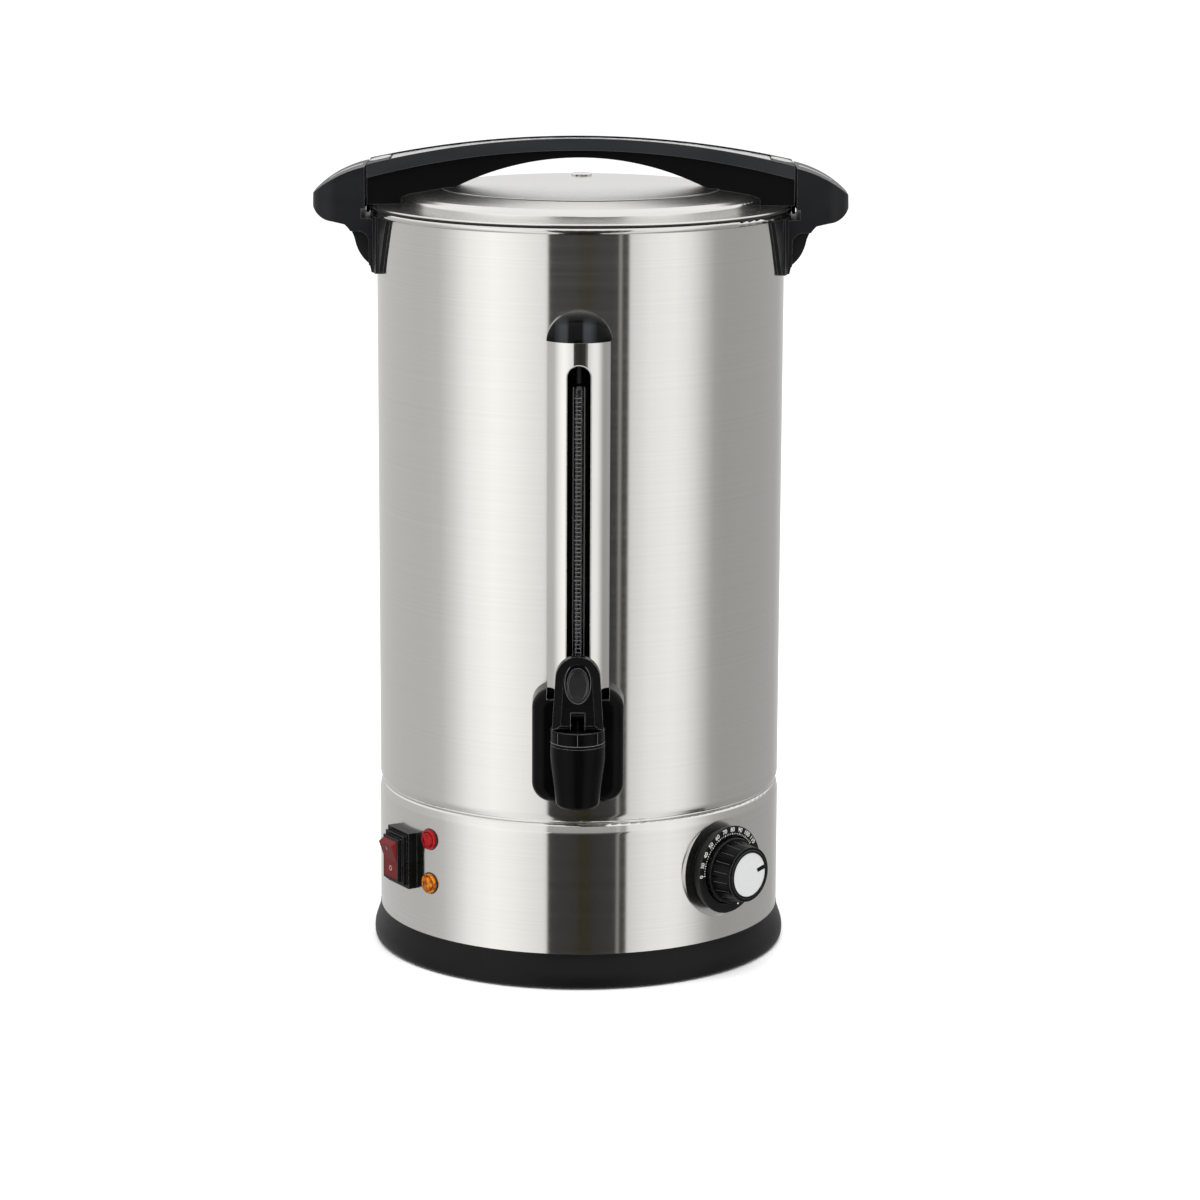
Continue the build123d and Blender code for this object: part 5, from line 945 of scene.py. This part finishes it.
# The studio's walls, as seen from the urn: azimuth from the tap in degrees, and colour.
WALL_LIGHT = (
    (-180, (0.72, 0.72, 0.72)),
    (-100, (0.67, 0.67, 0.67)),
    (-86, (0.71, 0.71, 0.71)),
    (-77, (0.92, 0.92, 0.92)),
    (-65, (1.27, 1.27, 1.27)),
    (-50, (1.46, 1.46, 1.46)),
    (-38, (1.36, 1.36, 1.36)),
    (-19.5, (1.10, 1.10, 1.10)),
    (-18.0, (0.98, 0.98, 0.98)),
    (-17.2, (0.050, 0.050, 0.048)),
    (-1.0, (0.042, 0.041, 0.038)),
    (0.6, (0.036, 0.032, 0.018)),
    (6.3, (0.036, 0.031, 0.017)),
    (8.0, (0.036, 0.036, 0.034)),
    (21.2, (0.048, 0.048, 0.046)),
    (21.8, (0.420, 0.420, 0.405)),
    (22.8, (0.420, 0.420, 0.405)),
    (23.4, (0.050, 0.050, 0.048)),
    (27.2, (0.060, 0.060, 0.058)),
    (28.0, (0.92, 0.92, 0.92)),
    (40, (1.17, 1.17, 1.17)),
    (54, (1.27, 1.27, 1.27)),
    (63, (1.15, 1.15, 1.15)),
    (69, (0.97, 0.97, 0.97)),
    (75, (0.74, 0.74, 0.74)),
    (82, (0.50, 0.50, 0.50)),
    (90, (0.46, 0.46, 0.46)),
    (150, (0.50, 0.50, 0.50)),
    (180, (0.72, 0.72, 0.72)),
)
CEILING_LIGHT = (1.20, 1.20, 1.20)
CEILING_FROM = 0.06  # sine of the elevation where the walls start to give way to the ceiling
CEILING_FULL = 0.30
DIMMER_FOOT = 0.86  # the walls' light low down, as a share of that at eye level
FOOT_SPAN = (-0.5, -0.1)  # sines of the elevations where the walls are dimmest, and full
BACKDROP = (1.0, 1.0, 1.0)


class Sky:
    """The world's node tree, built up like a finish."""

    def __init__(self, name):
        self.world = bpy.data.worlds.new(name)
        self.world.use_nodes = True
        self.tree = self.world.node_tree
        self.background = self.tree.nodes["Background"]

    add = Finish.add
    between = Finish.between
    mixed = Finish.mixed
    worked = Finish.worked


def studio():
    """Soft walls and ceiling, with the dark opening in front that the camera looks through."""
    sky = Sky("studio")
    direction = sky.add("ShaderNodeTexCoord").outputs["Generated"]
    split = sky.add("ShaderNodeSeparateXYZ", {0: direction})
    towards = sky.worked("MULTIPLY", split.outputs[1], -1.0)
    azimuth = sky.worked("ARCTAN2", split.outputs[0], towards)
    share = sky.between(azimuth, 0, 1, -math.pi, math.pi)
    ramp = sky.add("ShaderNodeValToRGB", {"Fac": share})
    stops = ramp.color_ramp.elements
    while len(stops) > 1:
        stops.remove(stops[-1])
    for number, (degrees, colour) in enumerate(WALL_LIGHT):
        place = (degrees + 180) / 360
        stop = stops[0] if number == 0 else stops.new(place)
        stop.position = place
        stop.color = (*colour, 1)
    height = split.outputs[2]
    foot = sky.between(height, 1, 0, *FOOT_SPAN)
    walls = sky.mixed(foot, (1, 1, 1), (DIMMER_FOOT, DIMMER_FOOT, DIMMER_FOOT))
    dimmed = sky.add("ShaderNodeMix", {"Factor": 1.0}, data_type="RGBA", blend_type="MULTIPLY")
    sky.tree.links.new(ramp.outputs["Color"], dimmed.inputs["A"])
    sky.tree.links.new(walls, dimmed.inputs["B"])
    overhead = sky.between(height, 0, 1, CEILING_FROM, CEILING_FULL)
    room = sky.mixed(overhead, dimmed.outputs["Result"], CEILING_LIGHT)
    seen = sky.add("ShaderNodeLightPath").outputs["Is Camera Ray"]
    sky.tree.links.new(sky.mixed(seen, room, BACKDROP), sky.background.inputs["Color"])
    bpy.context.scene.world = sky.world


def lamp(name, place, target, size, power):
    """A large soft lamp."""
    light = bpy.data.lights.new(name, "AREA")
    light.shape = "DISK"
    light.size = size
    light.energy = power
    piece = bpy.data.objects.new(name, light)
    piece.location = place
    piece.rotation_euler = (Vector(target) - Vector(place)).to_track_quat("-Z", "Y").to_euler()
    piece.visible_glossy = False
    bpy.context.scene.collection.objects.link(piece)


CAMERA_PLACE = Vector((-0.00084, -2.5784, 0.7656))
CAMERA_PITCH = math.radians(11.694)  # downwards
CAMERA_YAW = math.radians(0.326)
CAMERA_ROLL = math.radians(0.253)
URN_TURN = math.radians(0.3)  # how far the camera stands to the right of the tap
SENSOR = 36.0
FOCAL_PIXELS = 3892.2
PICTURE_PIXELS = 1200


def camera():
    """The photograph's view of the urn."""
    forward = Vector(
        (
            math.sin(CAMERA_YAW) * math.cos(CAMERA_PITCH),
            math.cos(CAMERA_YAW) * math.cos(CAMERA_PITCH),
            -math.sin(CAMERA_PITCH),
        )
    )
    level = Vector((math.cos(CAMERA_YAW), -math.sin(CAMERA_YAW), 0))
    upright = level.cross(forward)
    right = level * math.cos(CAMERA_ROLL) + upright * math.sin(CAMERA_ROLL)
    above = upright * math.cos(CAMERA_ROLL) - level * math.sin(CAMERA_ROLL)
    lens = bpy.data.cameras.new("camera")
    lens.sensor_width = SENSOR
    lens.lens = FOCAL_PIXELS * SENSOR / PICTURE_PIXELS
    piece = bpy.data.objects.new("camera", lens)
    facing = Matrix((right, above, -forward)).transposed().to_4x4()
    stand = Matrix.Translation(CAMERA_PLACE) @ facing
    piece.matrix_world = Matrix.Rotation(URN_TURN, 4, "Z") @ stand
    bpy.context.scene.collection.objects.link(piece)
    bpy.context.scene.camera = piece


floor()
studio()
lamp("lamp_over", place=(0.0, -0.6, 2.6), target=(0, 0, 0.2), size=2.4, power=60)
camera()
bpy.context.scene.view_settings.view_transform = "Standard"
